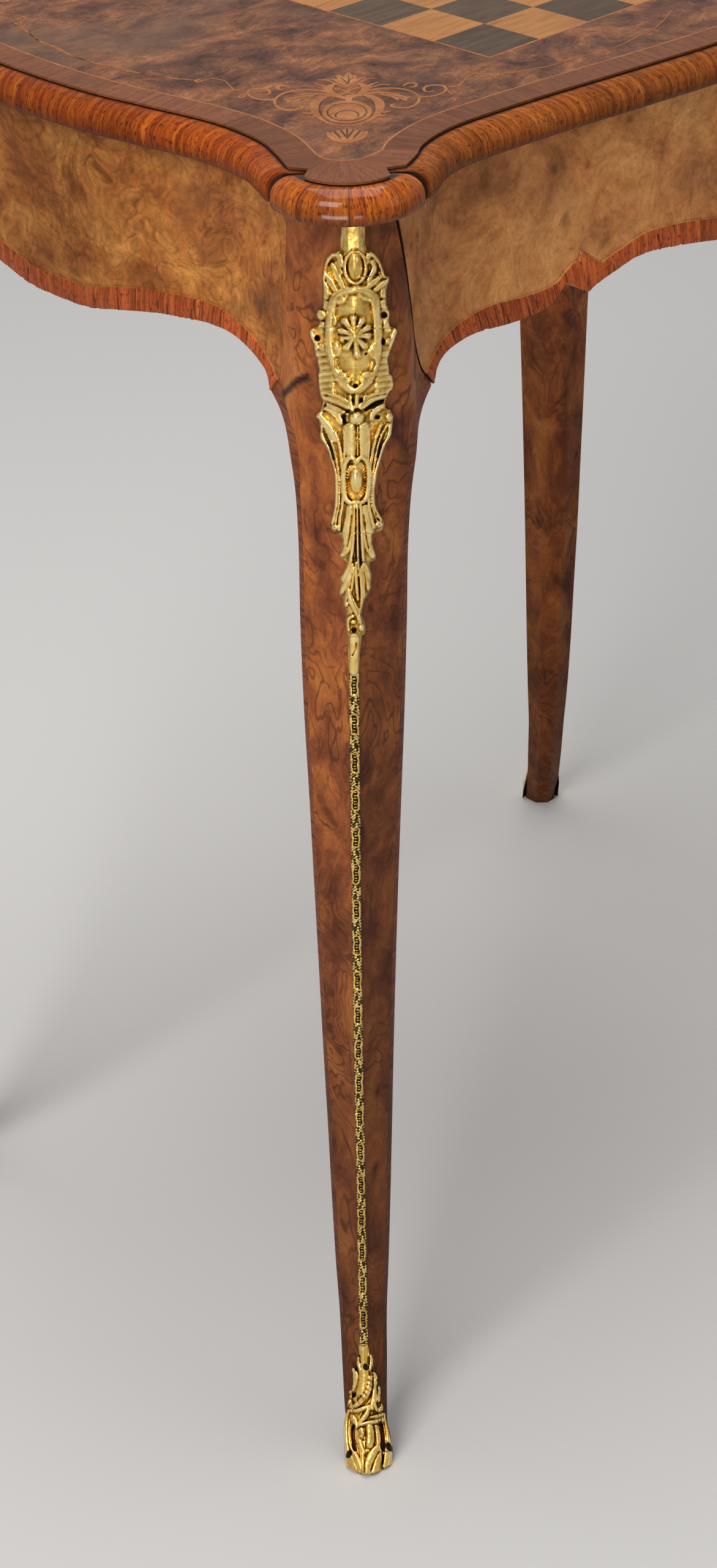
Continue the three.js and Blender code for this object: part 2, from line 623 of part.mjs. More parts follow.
// Rails, runners, guides and kickers
function rail(name, low, high, tenonLow, tenonHigh) {
  const tenon = block(0, railTenonBack, tenonLow, railTenonX, railFront - glueLine * 2, tenonHigh);
  const bar = block(-railEndX, railBack, low, railEndX, railFront, high);
  const solid = bar.add(tenon).add(mirrorX(tenon));
  place(name, geometryOf(mirrorY(solid)), oak);
}
rail('rail_top_front', topRailLow, shoulder, topRailTenonLow, shoulder);
rail('rail_drawer_bearer', bearerLow, bearerTop, bearerTenonLow, bearerTenonHigh);

const sideInner = endInner - glueLine;
const drawerHalf = seamAt(frontReach, frontDrop, frontSeamWidth, bearerTop) - runningGap;
for (const [name, sign] of [['right', 1], ['left', -1]]) {
  const span = (low, high) => [Math.min(sign * low, sign * high), Math.max(sign * low, sign * high)];
  const [outerLow, outerHigh] = span(sideInner - runnerWidth, sideInner);
  const [guideLow, guideHigh] = span(drawerHalf + runningGap, sideInner);
  const runner = block(outerLow, strutFront, bearerLow, outerHigh, strutBack, bearerTop);
  place(`drawer_runner_${name}`, geometryOf(runner), oak);
  const guideBottom = bearerTop + glueLine;
  const guide = block(guideLow, strutFront, guideBottom, guideHigh, strutBack, guideBottom + guideHeight);
  place(`drawer_guide_${name}`, geometryOf(guide), oak);
  let kicker = block(outerLow, strutFront, topRailLow, outerHigh, strutBack, shoulder);
  for (const at of kickerScrews.filter((screw) => Math.sign(screw.x) === sign)) {
    const headTop = topRailLow + screwHeadHeight + glueLine;
    kicker = kicker.subtract(upright(at, screwRadius + glueLine, topRailLow - overrun, tableHeight));
    kicker = kicker.subtract(upright(at, screwHeadRadius + glueLine, topRailLow - overrun, headTop));
  }
  place(`drawer_kicker_${name}`, geometryOf(kicker), oak);
}

// Screws up through the kickers into the ground of the top
kickerScrews.forEach((at, i) => {
  const headLow = topRailLow + glueLine / 2;
  const head = upright(at, screwHeadRadius, headLow, headLow + screwHeadHeight);
  const shank = upright(at, screwRadius, headLow + screwHeadHeight / 2, groundBottom + screwReach);
  place(`top_screw_${i + 1}`, geometryOf(head.add(shank)), steel);
});

// Drawer: shaped front over a plain box
const frontTop = shoulder + glueLine - runningGap;
const frontOutline = apronOutline(
  frontEdgeShares, frontReach, frontDrop, frontSeamWidth, runningGap, frontTop,
);
const drawerFace = carcass.intersect(frontPrism(frontOutline, frontInner, outerY));
const sideLow = bearerTop + glueLine;
const sideTop = sideLow + drawerHeight - runningGap;
const boxBack = drawerBackRoom - frontInner;
const sideFront = frontInner - glueLine;
const bottomLow = sideLow + bottomRise;
const bottomTop = bottomLow + drawerBottom;
const bottomHalf = drawerHalf - drawerSide + bottomGroove;
const groove = block(
  -bottomHalf - glueLine, -sideFront - overrun, bottomLow - glueLine,
  bottomHalf + glueLine, -boxBack + overrun, bottomTop + glueLine,
);
place('drawer_front', geometryOf(mirrorY(drawerFace)), apronWalnut);
for (const [name, sign] of [['right', 1], ['left', -1]]) {
  const low = Math.min(sign * drawerHalf, sign * (drawerHalf - drawerSide));
  const side = block(low, -sideFront, sideLow, low + drawerSide, -boxBack, sideTop).subtract(groove);
  place(`drawer_side_${name}`, geometryOf(side), oak);
}
const innerHalf = drawerHalf - drawerSide - glueLine;
const drawerBack = block(
  -innerHalf, -boxBack - drawerBackThickness, bottomTop + glueLine,
  innerHalf, -boxBack, sideTop,
);
place('drawer_back', geometryOf(drawerBack), oak);
place('drawer_bottom', geometryOf(block(
  -bottomHalf, -sideFront, bottomLow, bottomHalf, -boxBack, bottomTop,
)), oak);

// Folded section of a mount that sits over the leg's front edge
function foldRing({ z, x, y }, wing, edge, middle, gap) {
  const out = gap + middle;
  const rim = gap + edge;
  const shallow = gap + (edge + middle) / 2;
  return [
    [-gap, -gap], [-gap, wing], [-rim, wing], [-shallow, wing / 2], [-out, middle / 2],
    [middle / 2, -out], [wing / 2, -shallow], [wing, -rim], [wing, -gap],
  ].map(([inX, inY]) => new THREE.Vector3(x - inX, y - inY, z));
}
function foldHub({ z, x, y }, middle, gap) {
  const out = gap + middle / 2;
  return new THREE.Vector3(x + out, y + out, z);
}
function foldSkin(stations) {
  const last = stations[stations.length - 1];
  const first = stations[0];
  return skin(
    stations.map(({ leg, wing, edge, middle }) => foldRing(leg, wing, edge, middle, glueLine)),
    [foldHub(first.leg, first.middle, glueLine), foldHub(last.leg, last.middle, glueLine)],
  );
}

const mountTop = shoulder + glueLine - mountTopGap;
const mountStations = mountStationShares.map(([down, wing, edge, middle]) => ({
  leg: legAt(mountTop - mountHeight * down),
  wing: mountWidth * wing,
  edge: mountThickness * edge,
  middle: mountThickness * middle,
}));
placeInQuarters('corner_mount', foldSkin(mountStations), giltBrass);

const stripTop = mountTop - mountHeight - stripGap;
const stripLow = sabotLift + sabotHeight + stripGap;
const stripHeights = legStations.map(({ z }) => z).filter((z) => z > stripLow && z < stripTop).reverse();
const stripStations = [stripTop, ...stripHeights, stripLow].map((z) => ({
  leg: legAt(z), wing: stripWidth, edge: stripThickness / 2, middle: stripThickness,
}));
placeInQuarters('arris_strip', foldSkin(stripStations), giltBrass);

// Sabot: folded round the foot, with a window on each face
const sabotStations = [...sabotStationShares].reverse().map(([up, wing, edge, middle]) => {
  const leg = legAt(sabotLift + sabotHeight * up);
  return { leg, wing: leg.width * wing, edge: sabotThickness * edge, middle: sabotThickness * middle };
});
const windowMiddle = sabotHeight * ((windowSpanShares[0] + windowSpanShares[1]) / 2);
const windowHalf = sabotHeight * ((windowSpanShares[1] - windowSpanShares[0]) / 2);
const foot = legAt(windowMiddle);
const windowHole = new THREE.CylinderGeometry(1, 1, legWidth, arcSteps * 2);
windowHole.scale(foot.width * windowHalfWidthShare, 1, windowHalf);
const windowY = windowHole.clone().translate(foot.x - foot.width * windowPlaceShare, foot.y, windowMiddle);
const windowX = windowHole.clone().rotateZ(Math.PI / 2)
  .translate(foot.x, foot.y - foot.width * windowPlaceShare, windowMiddle);
const sabot = solidOf(foldSkin(sabotStations)).subtract(solidOf(windowX)).subtract(solidOf(windowY));
placeInQuarters('sabot', geometryOf(sabot), giltBrass);

export default table;
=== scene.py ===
import math

import bpy
import numpy as np
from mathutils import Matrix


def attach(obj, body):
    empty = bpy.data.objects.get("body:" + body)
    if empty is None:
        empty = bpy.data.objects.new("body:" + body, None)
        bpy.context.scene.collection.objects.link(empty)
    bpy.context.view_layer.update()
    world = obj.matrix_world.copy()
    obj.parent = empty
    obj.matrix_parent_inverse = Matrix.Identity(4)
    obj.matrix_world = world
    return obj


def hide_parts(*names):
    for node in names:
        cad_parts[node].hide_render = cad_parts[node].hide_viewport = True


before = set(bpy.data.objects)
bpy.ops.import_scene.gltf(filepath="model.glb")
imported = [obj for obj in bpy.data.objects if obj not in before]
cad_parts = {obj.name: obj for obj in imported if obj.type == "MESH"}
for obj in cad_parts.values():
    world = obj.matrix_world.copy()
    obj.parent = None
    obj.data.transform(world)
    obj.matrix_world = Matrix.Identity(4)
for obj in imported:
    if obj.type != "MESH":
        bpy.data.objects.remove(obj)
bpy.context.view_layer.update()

# Legs
# Solid walnut posts faced with figured walnut, each in one piece, with tulipwood strips let into
# the inner edges. They stand inside the wavy plan that the carcass and the top share, which comes
# first. It is in millimetres from the middle of the table, as are all sizes after it.
mm = 0.001
table_height = 733
moulding_depth, glue_gap = 15.8, .3
half_length, half_depth = 285.2, 199.5
end_swell, front_swell = 11, 15.4
corner_radius = 23.3
corner_centre = np.array([half_length - 13.2, half_depth - 17.5])
corner_angles = np.radians(np.linspace(-6, 95, 41))
end_wave = [[0, 0], [.2, -.12], [.38, -.54], [.585, -1], [.747, -.76], [.847, -.13], [.94, .645]]
front_wave = [[0, 0], [.193, -.13], [.363, -.41], [.567, -.79], [.74, -1], [.815, -.91],
              [.875, -.6], [.911, -.22], [.969, .234]]


def through(points, steps):
    """A smooth line through points: each span is the cubic whose end slopes are half the step
    between the two neighbouring points."""
    p = np.asarray(points, float)
    t = np.linspace(0, len(p) - 1, steps + 1)
    i = np.minimum(t.astype(int), len(p) - 2)
    w = (t - i)[:, None]
    a, b, c, d = p[np.maximum(i - 1, 0)], p[i], p[i + 1], p[np.minimum(i + 2, len(p) - 1)]
    s0, s1 = (c - a) / 2, (d - b) / 2
    return (2 * b - 2 * c + s0 + s1) * w**3 + (3 * c - 3 * b - 2 * s0 - s1) * w**2 + s0 * w + b


def side(wave, span, middle, swell, end, steps):
    """One whole side as [along, out] points, from its half wave mirrored about the middle."""
    half = [[span * a, middle + swell * o] for a, o in wave] + [[span, end]]
    other = [[-a, o] for a, o in half[:0:-1]]
    return through(other + half, steps)


corner_line = corner_centre + corner_radius * np.stack([np.cos(corner_angles),
                                                        np.sin(corner_angles)], 1)
end_line = side(end_wave, corner_line[0, 1], half_length, end_swell, corner_line[0, 0], 224)
front_line = side(front_wave, corner_line[-1, 0], half_depth, front_swell, corner_line[-1, 1], 288)
half_loop = np.concatenate([end_line[:, ::-1], corner_line[1:-1], front_line[::-1],
                            corner_line[-2:0:-1] * [-1, 1]])
outline = np.concatenate([half_loop, -half_loop])
step = np.roll(outline, -1, 0) - np.roll(outline, 1, 0)
outward = np.stack([step[:, 1], -step[:, 0]], 1) / np.linalg.norm(step, axis=1)[:, None]

face_setback, slab_thickness = 3, 18
arris_x, arris_y = half_length - 1.2, half_depth - 2.5
shoulder = table_height - moulding_depth - glue_gap
leg_width, sway_x, sway_y = 36.4, 23, 32
# down the leg, as shares: height, sway along x, sway along y, width
leg_stations = np.array([
    [0, -.25, .096, .472], [.046, .087, .361, .484], [.074, .281, .502, .503],
    [.116, .487, .657, .525], [.158, .608, .743, .578], [.213, .717, .813, .63],
    [.283, .793, .856, .681], [.353, .822, .871, .734], [.423, .804, .842, .783],
    [.492, .765, .796, .835], [.562, .695, .722, .89], [.632, .609, .64, .95],
    [.702, .513, .544, .986], [.771, .4, .425, 1], [.813, .304, .325, 1.06],
    [.841, .215, .24, 1.15], [.869, .13, .156, 1.15], [.925, .017, .025, 1.15], [1, 0, 0, 1.15]])
end_inner = half_length - end_swell - face_setback - slab_thickness
front_inner = half_depth - front_swell - face_setback - slab_thickness
post_x, post_y = arris_x - 40, arris_y - 50
front_reach, front_drop, front_seam = arris_x - 60.7, 114.5, 30
end_reach, end_drop, end_seam = arris_y - 65, 116.2, 17
seam_height, seam_out = 8.7, 7.8
knee = np.array([[0, 0], [.2, .17], [.33, .34], [.415, .53], [.455, .71], [.467, .85]]) * leg_width
band_width, strip_width = 10.5, 4.2
face_columns, strip_columns = 22, 3
edge_column = face_columns + strip_columns - 1
wing_heights, post_heights, fall_heights = (585, 594), (592, 606), (560, 610)


def table_of(points, along):
    """Offset outline as a function: sorted [along, out] pairs of the side that faces out."""
    inner = points - outward * face_setback
    pairs = np.stack([inner[:, along], inner[:, 1 - along]], 1)
    limit = [arris_x, arris_y][along] + 1
    keep = (pairs[:, 1] > [arris_x, arris_y][1 - along] - 20) & (np.abs(pairs[:, 0]) < limit)
    pairs = pairs[keep]
    return pairs[np.argsort(pairs[:, 0])]


front_table, end_table = table_of(outline, 0), table_of(outline, 1)


def soft_min(p, q, k=.6):
    """The smaller of two heights, rounded over about k where they cross."""
    return -k * np.logaddexp(-p / k, -q / k)


def front_face(x):
    """How far the carcass stands out to the front or back at x."""
    return soft_min(np.interp(np.abs(x), *front_table.T), arris_y)


def end_face(y):
    """How far the carcass stands out at an end at y."""
    return soft_min(np.interp(np.abs(y), *end_table.T), arris_x)


def eased(x, xs, ys):
    """Cubic through stations xs, ys, with each slope the mean of the two beside it."""
    slope = np.gradient(ys, xs)
    i = np.clip(np.searchsorted(xs, x, side="right") - 1, 0, len(xs) - 2)
    h = xs[i + 1] - xs[i]
    t = np.clip((x - xs[i]) / h, 0, 1)
    return ((2 * t**3 - 3 * t**2 + 1) * ys[i] + (t**3 - 2 * t**2 + t) * h * slope[i]
            + (3 * t**2 - 2 * t**3) * ys[i + 1] + (t**3 - t**2) * h * slope[i + 1])


def leg_line(z):
    """Place of the leg's front edge (x, y) and its width at height z."""
    at = leg_stations[:, 0] * shoulder
    return (arris_x - sway_x * eased(z, at, leg_stations[:, 1]),
            arris_y - sway_y * eased(z, at, leg_stations[:, 2]),
            leg_width * eased(z, at, leg_stations[:, 3]))


def joint_line(z, reach, drop, seam, below):
    """How far from the middle the joint between apron and leg is at height z: as below up to the
    apron's tip, then out over the tip's shoulder, and in a slant to the top."""
    tip = table_height - drop
    start = tip + seam_height
    line = np.where(z > tip, reach + seam_out * (z - tip) / seam_height, below)
    climb = np.clip((z - start) / (shoulder - start), 0, 1) ** .7
    return np.where(z > start, reach + seam_out + seam * climb, line)


def inner_edge(z, reach, drop, seam, column):
    """Edge of the leg against the apron at height z, where column is its plain inner edge, and the
    edge of the banding beside it: the farthest reach of a circle as wide as the banding, rolled
    along that edge. The knee runs into the column in a soft corner."""
    tip = table_height - drop
    curve = through(np.stack([reach + knee[:, 0], tip - knee[:, 1]], 1), 60)
    edge = np.interp(z, curve[::-1, 1], curve[::-1, 0])
    edge = np.where(z < curve[-1, 1], curve[-1, 0] + .2 * (curve[-1, 1] - z), edge)
    edge = joint_line(z, reach, drop, seam, soft_min(edge, column, 1.2))
    width = np.interp(z, [curve[-1, 1] - 10, tip], [strip_width, band_width])
    below = z <= tip + .5
    gap = np.clip(width**2 - (z[:, None] - z) ** 2, 0, None)
    reached = np.where((gap > 0) & below, edge + np.sqrt(gap), -1e3).max(1)
    return edge, np.where(below | (reached > edge), np.maximum(reached, edge + .05), edge + .05)


def ease(z, low, high):
    """0 below low, 1 above high, and a smooth step between."""
    t = np.clip((z - low) / (high - low), 0, 1)
    return t * t * (3 - 2 * t)


def leg_half(z, a0, o0, w, reach, drop, seam, inner, post_a, post_o, face):
    """Half a ring of the leg at each height: along the face from its front edge to the banding,
    over the banding, round the back of the wing and the post, to the inner chamfer."""
    low_edge = a0 - w
    edge, banded = inner_edge(z, reach, drop, seam, low_edge)
    winged, posted = ease(z, *wing_heights), ease(z, *post_heights)
    fall = .7 * (1 - ease(z, *fall_heights)) + .5
    k, c = .36 * w, .04 * w
    back3 = (1 - winged) * (o0 - c - .3 * (w - k)) + winged * inner
    back4 = (1 - winged) * (o0 - c - .5 * (w - k)) + winged * (inner - .1)
    deep_a = (1 - posted) * low_edge + posted * post_a
    deep_o = (1 - posted) * (o0 - w + k) + posted * (post_o + 1)
    share = np.linspace(0, 1, face_columns)[None, :]
    along = a0[:, None] + (banded - a0)[:, None] * share
    out = soft_min(face(along), o0[:, None])
    strip = np.linspace(0, 1, strip_columns + 1)[None, 1:]
    along_s = banded[:, None] + (edge - banded)[:, None] * strip
    out_s = soft_min(face(along_s), o0[:, None]) - fall[:, None] * strip
    corners_a = np.stack([edge, edge, deep_a, deep_a], 1)
    corners_o = np.stack([(out_s[:, -1] + back3) / 2, back3, back4, deep_o], 1)
    return (np.concatenate([along, along_s, corners_a], 1),
            np.concatenate([out, out_s, corners_o], 1))


leg_heights = np.unique(np.concatenate([
    np.linspace(0, 560, 150), np.linspace(560, 640, 70), np.linspace(640, shoulder, 24)]))
ax, ay, aw = leg_line(leg_heights)
fx, fy = leg_half(leg_heights, ax, ay, aw, front_reach, front_drop, front_seam, front_inner,
                  post_x, post_y, front_face)
ey, ex = leg_half(leg_heights, ay, ax, aw, end_reach, end_drop, end_seam, end_inner,
                  post_y, post_x, end_face)
ring_x = np.concatenate([fx, ex[:, :0:-1]], 1)
ring_y = np.concatenate([fy, ey[:, :0:-1]], 1)
leg_rings = np.stack([ring_x, ring_y, np.broadcast_to(leg_heights[:, None], ring_x.shape)], 2)


def paint(text):
    """A written colour, such as #a05f33, as the light that it stands for."""
    part = np.array([int(text[i:i + 2], 16) for i in (1, 3, 5)]) / 255
    part = np.where(part < .04045, part / 12.92, ((part + .055) / 1.055) ** 2.4)
    return (*part, 1)


def feed(node, **links):
    """Fills a node's inputs, by name with _ for a space, or by place as in0. Each gets a value, a
    written colour, a socket, or a node, which stands for the first of its outputs in use."""
    for name, value in links.items():
        by_place = name[:2] == "in" and name[2:].isdigit()
        plug = node.inputs[int(name[2:]) if by_place else name.replace("_", " ")]
        if isinstance(value, bpy.types.Node):
            value = next(out for out in value.outputs if out.enabled)
        if isinstance(value, bpy.types.NodeSocket):
            node.id_data.links.new(value, plug)
        else:
            plug.default_value = paint(value) if isinstance(value, str) else value


def put(tree, kind, settings=None, **links):
    """Adds one node. Settings are its own properties, with stops for a ramp, and links feed it."""
    made = tree.nodes.new("ShaderNode" + kind)
    for name, value in (settings or {}).items():
        if name == "stops":
            ramp = made.color_ramp.elements
            while len(ramp) < len(value):
                ramp.new(.5)
            for stop, (at, colour) in zip(ramp, value):
                stop.position, stop.color = at, paint(colour)
        else:
            setattr(made, name, value)
    feed(made, **links)
    return made


def finish_of(name, roughness, coat=0, metallic=0):
    """A new material with its tree and shader. Polished wood shines less than the shader's default,
    and metal keeps the default."""
    made = bpy.data.materials.new(name)
    made.use_nodes = True
    shader = made.node_tree.nodes["Principled BSDF"]
    feed(shader, Roughness=roughness, Metallic=metallic, Coat_Weight=coat, Coat_Roughness=.12,
         Specular_IOR_Level=.5 if metallic else .05)
    return made, made.node_tree, shader


def contours(tree, field, turns, low, strength):
    """Thin lines along the contours of a field: its sine after so many turns, from low upwards."""
    wave = put(tree, "Math", {"operation": "MULTIPLY"}, in0=field, in1=turns)
    wave = put(tree, "Math", {"operation": "SINE"}, in0=wave)
    return put(tree, "MapRange", Value=wave, From_Min=low, From_Max=1.0, To_Min=0.0,
               To_Max=strength)


def with_shade_and_grime(tree, shader, colour):
    """Gives the shader its colour, darkened where marked: painted shade, and real dirt and filler.
    """
    hollow = put(tree, "Attribute", {"attribute_name": "hollow"}).outputs["Fac"]
    dark = put(tree, "Mix", {"data_type": "RGBA"}, in0=hollow, in6=colour, in7="#1c0f0a")
    feed(shader, Base_Color=dark)


def figured_walnut(name, colours, cloud, stretch, coat, knots=1.0, roughness=.38, burr=0, veins=0):
    """Figured walnut under polish. Clouds of the given size in metres, folded by a coarser noise,
    carry thin contour lines of grain; pips and pores are dark; stretch draws it out along one axis.
    Burr adds small curls round eyes, a fine mottle and smoky patches, and veins adds dark wandering
    lines in flocks. Marked places are darker: painted shade, and real dirt and filler."""
    made, tree, shader = finish_of(name, roughness, coat)
    stain = {"data_type": "RGBA", "blend_type": "MULTIPLY"}
    place = put(tree, "TexCoord").outputs["Object"]
    drawn = put(tree, "VectorMath", {"operation": "MULTIPLY"}, in0=place, in1=stretch)
    fold = put(tree, "TexNoise", Vector=drawn, Scale=.45 / cloud, Detail=3.0)
    pulled = put(tree, "VectorMath", {"operation": "MULTIPLY_ADD"}, in0=fold.outputs["Color"],
                 in1=(cloud * 1.5,) * 3, in2=drawn)
    clouds = put(tree, "TexNoise", Vector=pulled, Scale=1 / cloud, Detail=7.0, Roughness=.62,
                 Distortion=.35)
    tone = put(tree, "ValToRGB", {"stops": list(zip((.3, .45, .56, .72), colours))}, Fac=clouds)
    lines = put(tree, "TexNoise", Vector=pulled, Scale=.8 / cloud, Detail=2.0)
    grained = put(tree, "Mix", stain, in0=contours(tree, lines, 95.0, .35, .1), in6=tone,
                  in7="#8a6a50")
    pips = put(tree, "TexVoronoi", Vector=pulled, Scale=1.1 / cloud)
    pip = put(tree, "MapRange", Value=pips.outputs["Distance"], From_Min=.03, From_Max=.16,
              To_Min=.75 * knots, To_Max=0.0)
    knotted = put(tree, "Mix", stain, in0=pip, in6=grained, in7="#6a4a36")
    pores = put(tree, "TexNoise", Vector=drawn, Scale=900.0, Detail=2.0)
    pore = put(tree, "MapRange", Value=pores, From_Min=.6, From_Max=.72, To_Min=0.0, To_Max=.4)
    last = put(tree, "Mix", stain, in0=pore, in6=knotted, in7="#6f5038")
    if burr:
        eyes = put(tree, "TexVoronoi", Vector=pulled, Scale=2.6 / cloud).outputs["Distance"]
        last = put(tree, "Mix", stain, in0=contours(tree, eyes, 26.0, .1, .2 * burr), in6=last,
                   in7="#8a5c40")
        mottle = put(tree, "TexNoise", Vector=pulled, Scale=5.5 / cloud, Detail=4.0, Roughness=.7)
        mottle = put(tree, "MapRange", Value=mottle, From_Min=.34, From_Max=.66,
                     To_Min=1 - .24 * burr, To_Max=1 + .17 * burr)
        last = put(tree, "VectorMath", {"operation": "SCALE"}, in0=last, Scale=mottle)
        smoke = put(tree, "TexNoise", Vector=drawn, Scale=.28 / cloud, Detail=3.0, Distortion=.6)
        smoke = put(tree, "MapRange", Value=smoke, From_Min=.53, From_Max=.72, To_Min=0.0,
                    To_Max=.5 * burr)
        last = put(tree, "Mix", {"data_type": "RGBA"}, in0=smoke, in6=last, in7="#574133")
    if veins:
        swirl = put(tree, "TexNoise", Vector=pulled, Scale=.55 / cloud, Detail=3.5, Distortion=.7)
        flock = put(tree, "TexNoise", Vector=drawn, Scale=.7 / cloud, Detail=2.0)
        flock = put(tree, "MapRange", Value=flock, From_Min=.4, From_Max=.56, To_Min=.1, To_Max=1.0)
        vein = put(tree, "Math", {"operation": "MULTIPLY"}, in0=flock,
                   in1=contours(tree, swirl, 95.0, .5, veins))
        last = put(tree, "Mix", {"data_type": "RGBA"}, in0=vein, in6=last, in7="#3b1c0e")
    with_shade_and_grime(tree, shader, last)
    rubbed = put(tree, "MapRange", Value=clouds, From_Min=.3, From_Max=.7, To_Min=roughness + .08,
                 To_Max=roughness - .06)
    bump = put(tree, "Bump", Height=pores, Strength=.06, Distance=.0004)
    wavy = put(tree, "TexNoise", Vector=place, Scale=35.0, Detail=1.0)
    ripple = put(tree, "Bump", Height=wavy, Strength=.12, Distance=.001, Normal=bump)
    feed(shader, Roughness=rubbed, Normal=ripple)
    return made


def cross_banding(name, colours, streak, sheet, coat, roughness=.38, joint=.3, lines=.5):
    """Straight-grained wood laid across an edge, read from its own UV in metres: u along the edge,
    v across it. Streaks are noise drawn out along v, with thin dark lines and short pores, and each
    sheet has its own tone and a joint. Marked places are darker: painted shade, and some real dirt."""
    made, tree, shader = finish_of(name, roughness, coat)
    flat = put(tree, "UVMap", {"uv_map": "laid"})
    drawn = put(tree, "VectorMath", {"operation": "MULTIPLY"}, in0=flat, in1=(1.0, .07, 1.0))
    waver = put(tree, "TexNoise", Vector=flat, Scale=60.0, Detail=2.0)
    pulled = put(tree, "VectorMath", {"operation": "MULTIPLY_ADD"}, in0=waver.outputs["Color"],
                 in1=(.0022, 0.0, 0.0), in2=drawn)
    fine = put(tree, "TexNoise", Vector=pulled, Scale=1 / streak, Detail=5.0, Roughness=.7)
    tone = put(tree, "ValToRGB", {"stops": list(zip((.3, .44, .58, .72), colours))}, Fac=fine)
    u = put(tree, "SeparateXYZ", in0=flat)
    count = put(tree, "Math", {"operation": "DIVIDE"}, in0=u, in1=sheet)
    whole = put(tree, "Math", {"operation": "FLOOR"}, in0=count)
    chance = put(tree, "TexWhiteNoise", {"noise_dimensions": "1D"}, W=whole)
    shade = put(tree, "MapRange", Value=chance.outputs["Value"], To_Min=.78, To_Max=1.12)
    sheeted = put(tree, "VectorMath", {"operation": "SCALE"}, in0=tone, Scale=shade)
    part = put(tree, "Math", {"operation": "FRACT"}, in0=count)
    near = put(tree, "Math", {"operation": "COMPARE"}, in0=part, in1=0.0, in2=.0006 / sheet)
    seam = put(tree, "Math", {"operation": "MULTIPLY"}, in0=near, in1=joint)
    jointed = put(tree, "Mix", {"data_type": "RGBA"}, in0=seam, in6=sheeted, in7="#2c1710")
    drift = put(tree, "TexNoise", Vector=pulled, Scale=.5 / streak, Detail=1.5)
    apart = put(tree, "Math", {"operation": "COMPARE"}, in0=drift, in1=.52, in2=.011)
    ruled = put(tree, "Math", {"operation": "MULTIPLY"}, in0=apart, in1=lines)
    lined = put(tree, "Mix", {"data_type": "RGBA"}, in0=ruled, in6=jointed, in7="#2c1710")
    short = put(tree, "VectorMath", {"operation": "MULTIPLY"}, in0=flat, in1=(1.0, .22, 1.0))
    pores = put(tree, "TexNoise", Vector=short, Scale=1500.0, Detail=1.0)
    pore = put(tree, "MapRange", Value=pores, From_Min=.57, From_Max=.66, To_Min=0.0, To_Max=.85)
    pored = put(tree, "Mix", {"data_type": "RGBA"}, in0=pore, in6=lined, in7=colours[0])
    with_shade_and_grime(tree, shader, pored)
    feed(shader, Normal=put(tree, "Bump", Height=fine, Strength=.1, Distance=.0004))
    return made


# walnut of the legs, redder than the frieze, its grain drawn out down the leg
leg_walnut = figured_walnut("leg_walnut", ["#4a2310", "#784021", "#965427", "#a96a35"],
                            .03, (1.3, 1.3, .8), .06, burr=.5, veins=.66)
# tulipwood of the apron's band and of the leg's strips, straight grain laid across the edge
tulipwood = cross_banding("tulipwood_banding", ["#5c2613", "#90401c", "#aa5428", "#bc6a35"],
                          .0032, .046, .1, lines=.7)
leg_strips = cross_banding("tulipwood_strips", ["#431c0e", "#6c361c", "#7e4426", "#8e5432"],
                           .0032, .046, .05, lines=.7)


def lay(name, points, faces, materials, choice=None, laid=None, sharp=35, hollow=None):
    """Puts a worked-out surface into a mesh: points in millimetres, faces as rows of corners.
    Choice gives each face its material, laid gives each point its place in the veneer in mm, and
    the last argument how dark each point is painted, as painted shade and as real dirt and filler.
    Edges sharper than sharp degrees stay crisp."""
    mesh = bpy.data.meshes.new(name)
    mesh.from_pydata((np.asarray(points).reshape(-1, 3) * mm).tolist(), [], faces)
    for m in materials:
        mesh.materials.append(m)
    if choice is not None:
        mesh.polygons.foreach_set("material_index", np.asarray(choice, np.int32))
    if laid is not None:
        corners = np.zeros(len(mesh.loops), np.int32)
        mesh.loops.foreach_get("vertex_index", corners)
        metres = (laid.reshape(-1, 2)[corners] * mm).astype(np.float32)
        mesh.uv_layers.new(name="laid").uv.foreach_set("vector", metres.ravel())
    if hollow is not None:
        mark = mesh.attributes.new("hollow", "FLOAT", "POINT")
        mark.data.foreach_set("value", np.asarray(hollow, np.float32).ravel())
    mesh.shade_smooth()
    mesh.set_sharp_from_angle(angle=math.radians(sharp))
    mesh.update()
    made = bpy.data.objects.new(name, mesh)
    bpy.context.scene.collection.objects.link(made)
    return made


def skin_faces(rows, across, closed=True):
    """Corners of the four-sided faces between rows of points, closed round each row or open."""
    i = np.arange(rows - 1)[:, None]
    j = np.arange(across if closed else across - 1)[None, :]
    k = (j + 1) % across
    a, b = i * across, (i + 1) * across
    return np.stack([a + j, a + k, b + k, b + j], 2).reshape(-1, 4)


def capped(rows, across):
    """Faces of a closed skin over rows of points, with a cap on its first row and on its last."""
    caps = [list(range(across))[::-1], list(range((rows - 1) * across, rows * across))]
    return skin_faces(rows, across).tolist() + caps


def turned(faces, flip):
    """The same faces, their corners in the other order where a mirror turned them inside out."""
    return [tuple(f)[::-1] for f in faces] if flip else [tuple(f) for f in faces]


def walk(points):
    """Distance walked along a line of points, or along each row of a grid of them."""
    moved = np.linalg.norm(np.diff(points, axis=-2), axis=-1)
    return np.insert(np.cumsum(moved, -1), 0, 0, axis=-1)


def unrolled(along, over):
    """Place of each point in the veneer: how far along the piece, and how far over it."""
    return np.stack([np.broadcast_to(along[:, None], over.shape), over], 2)


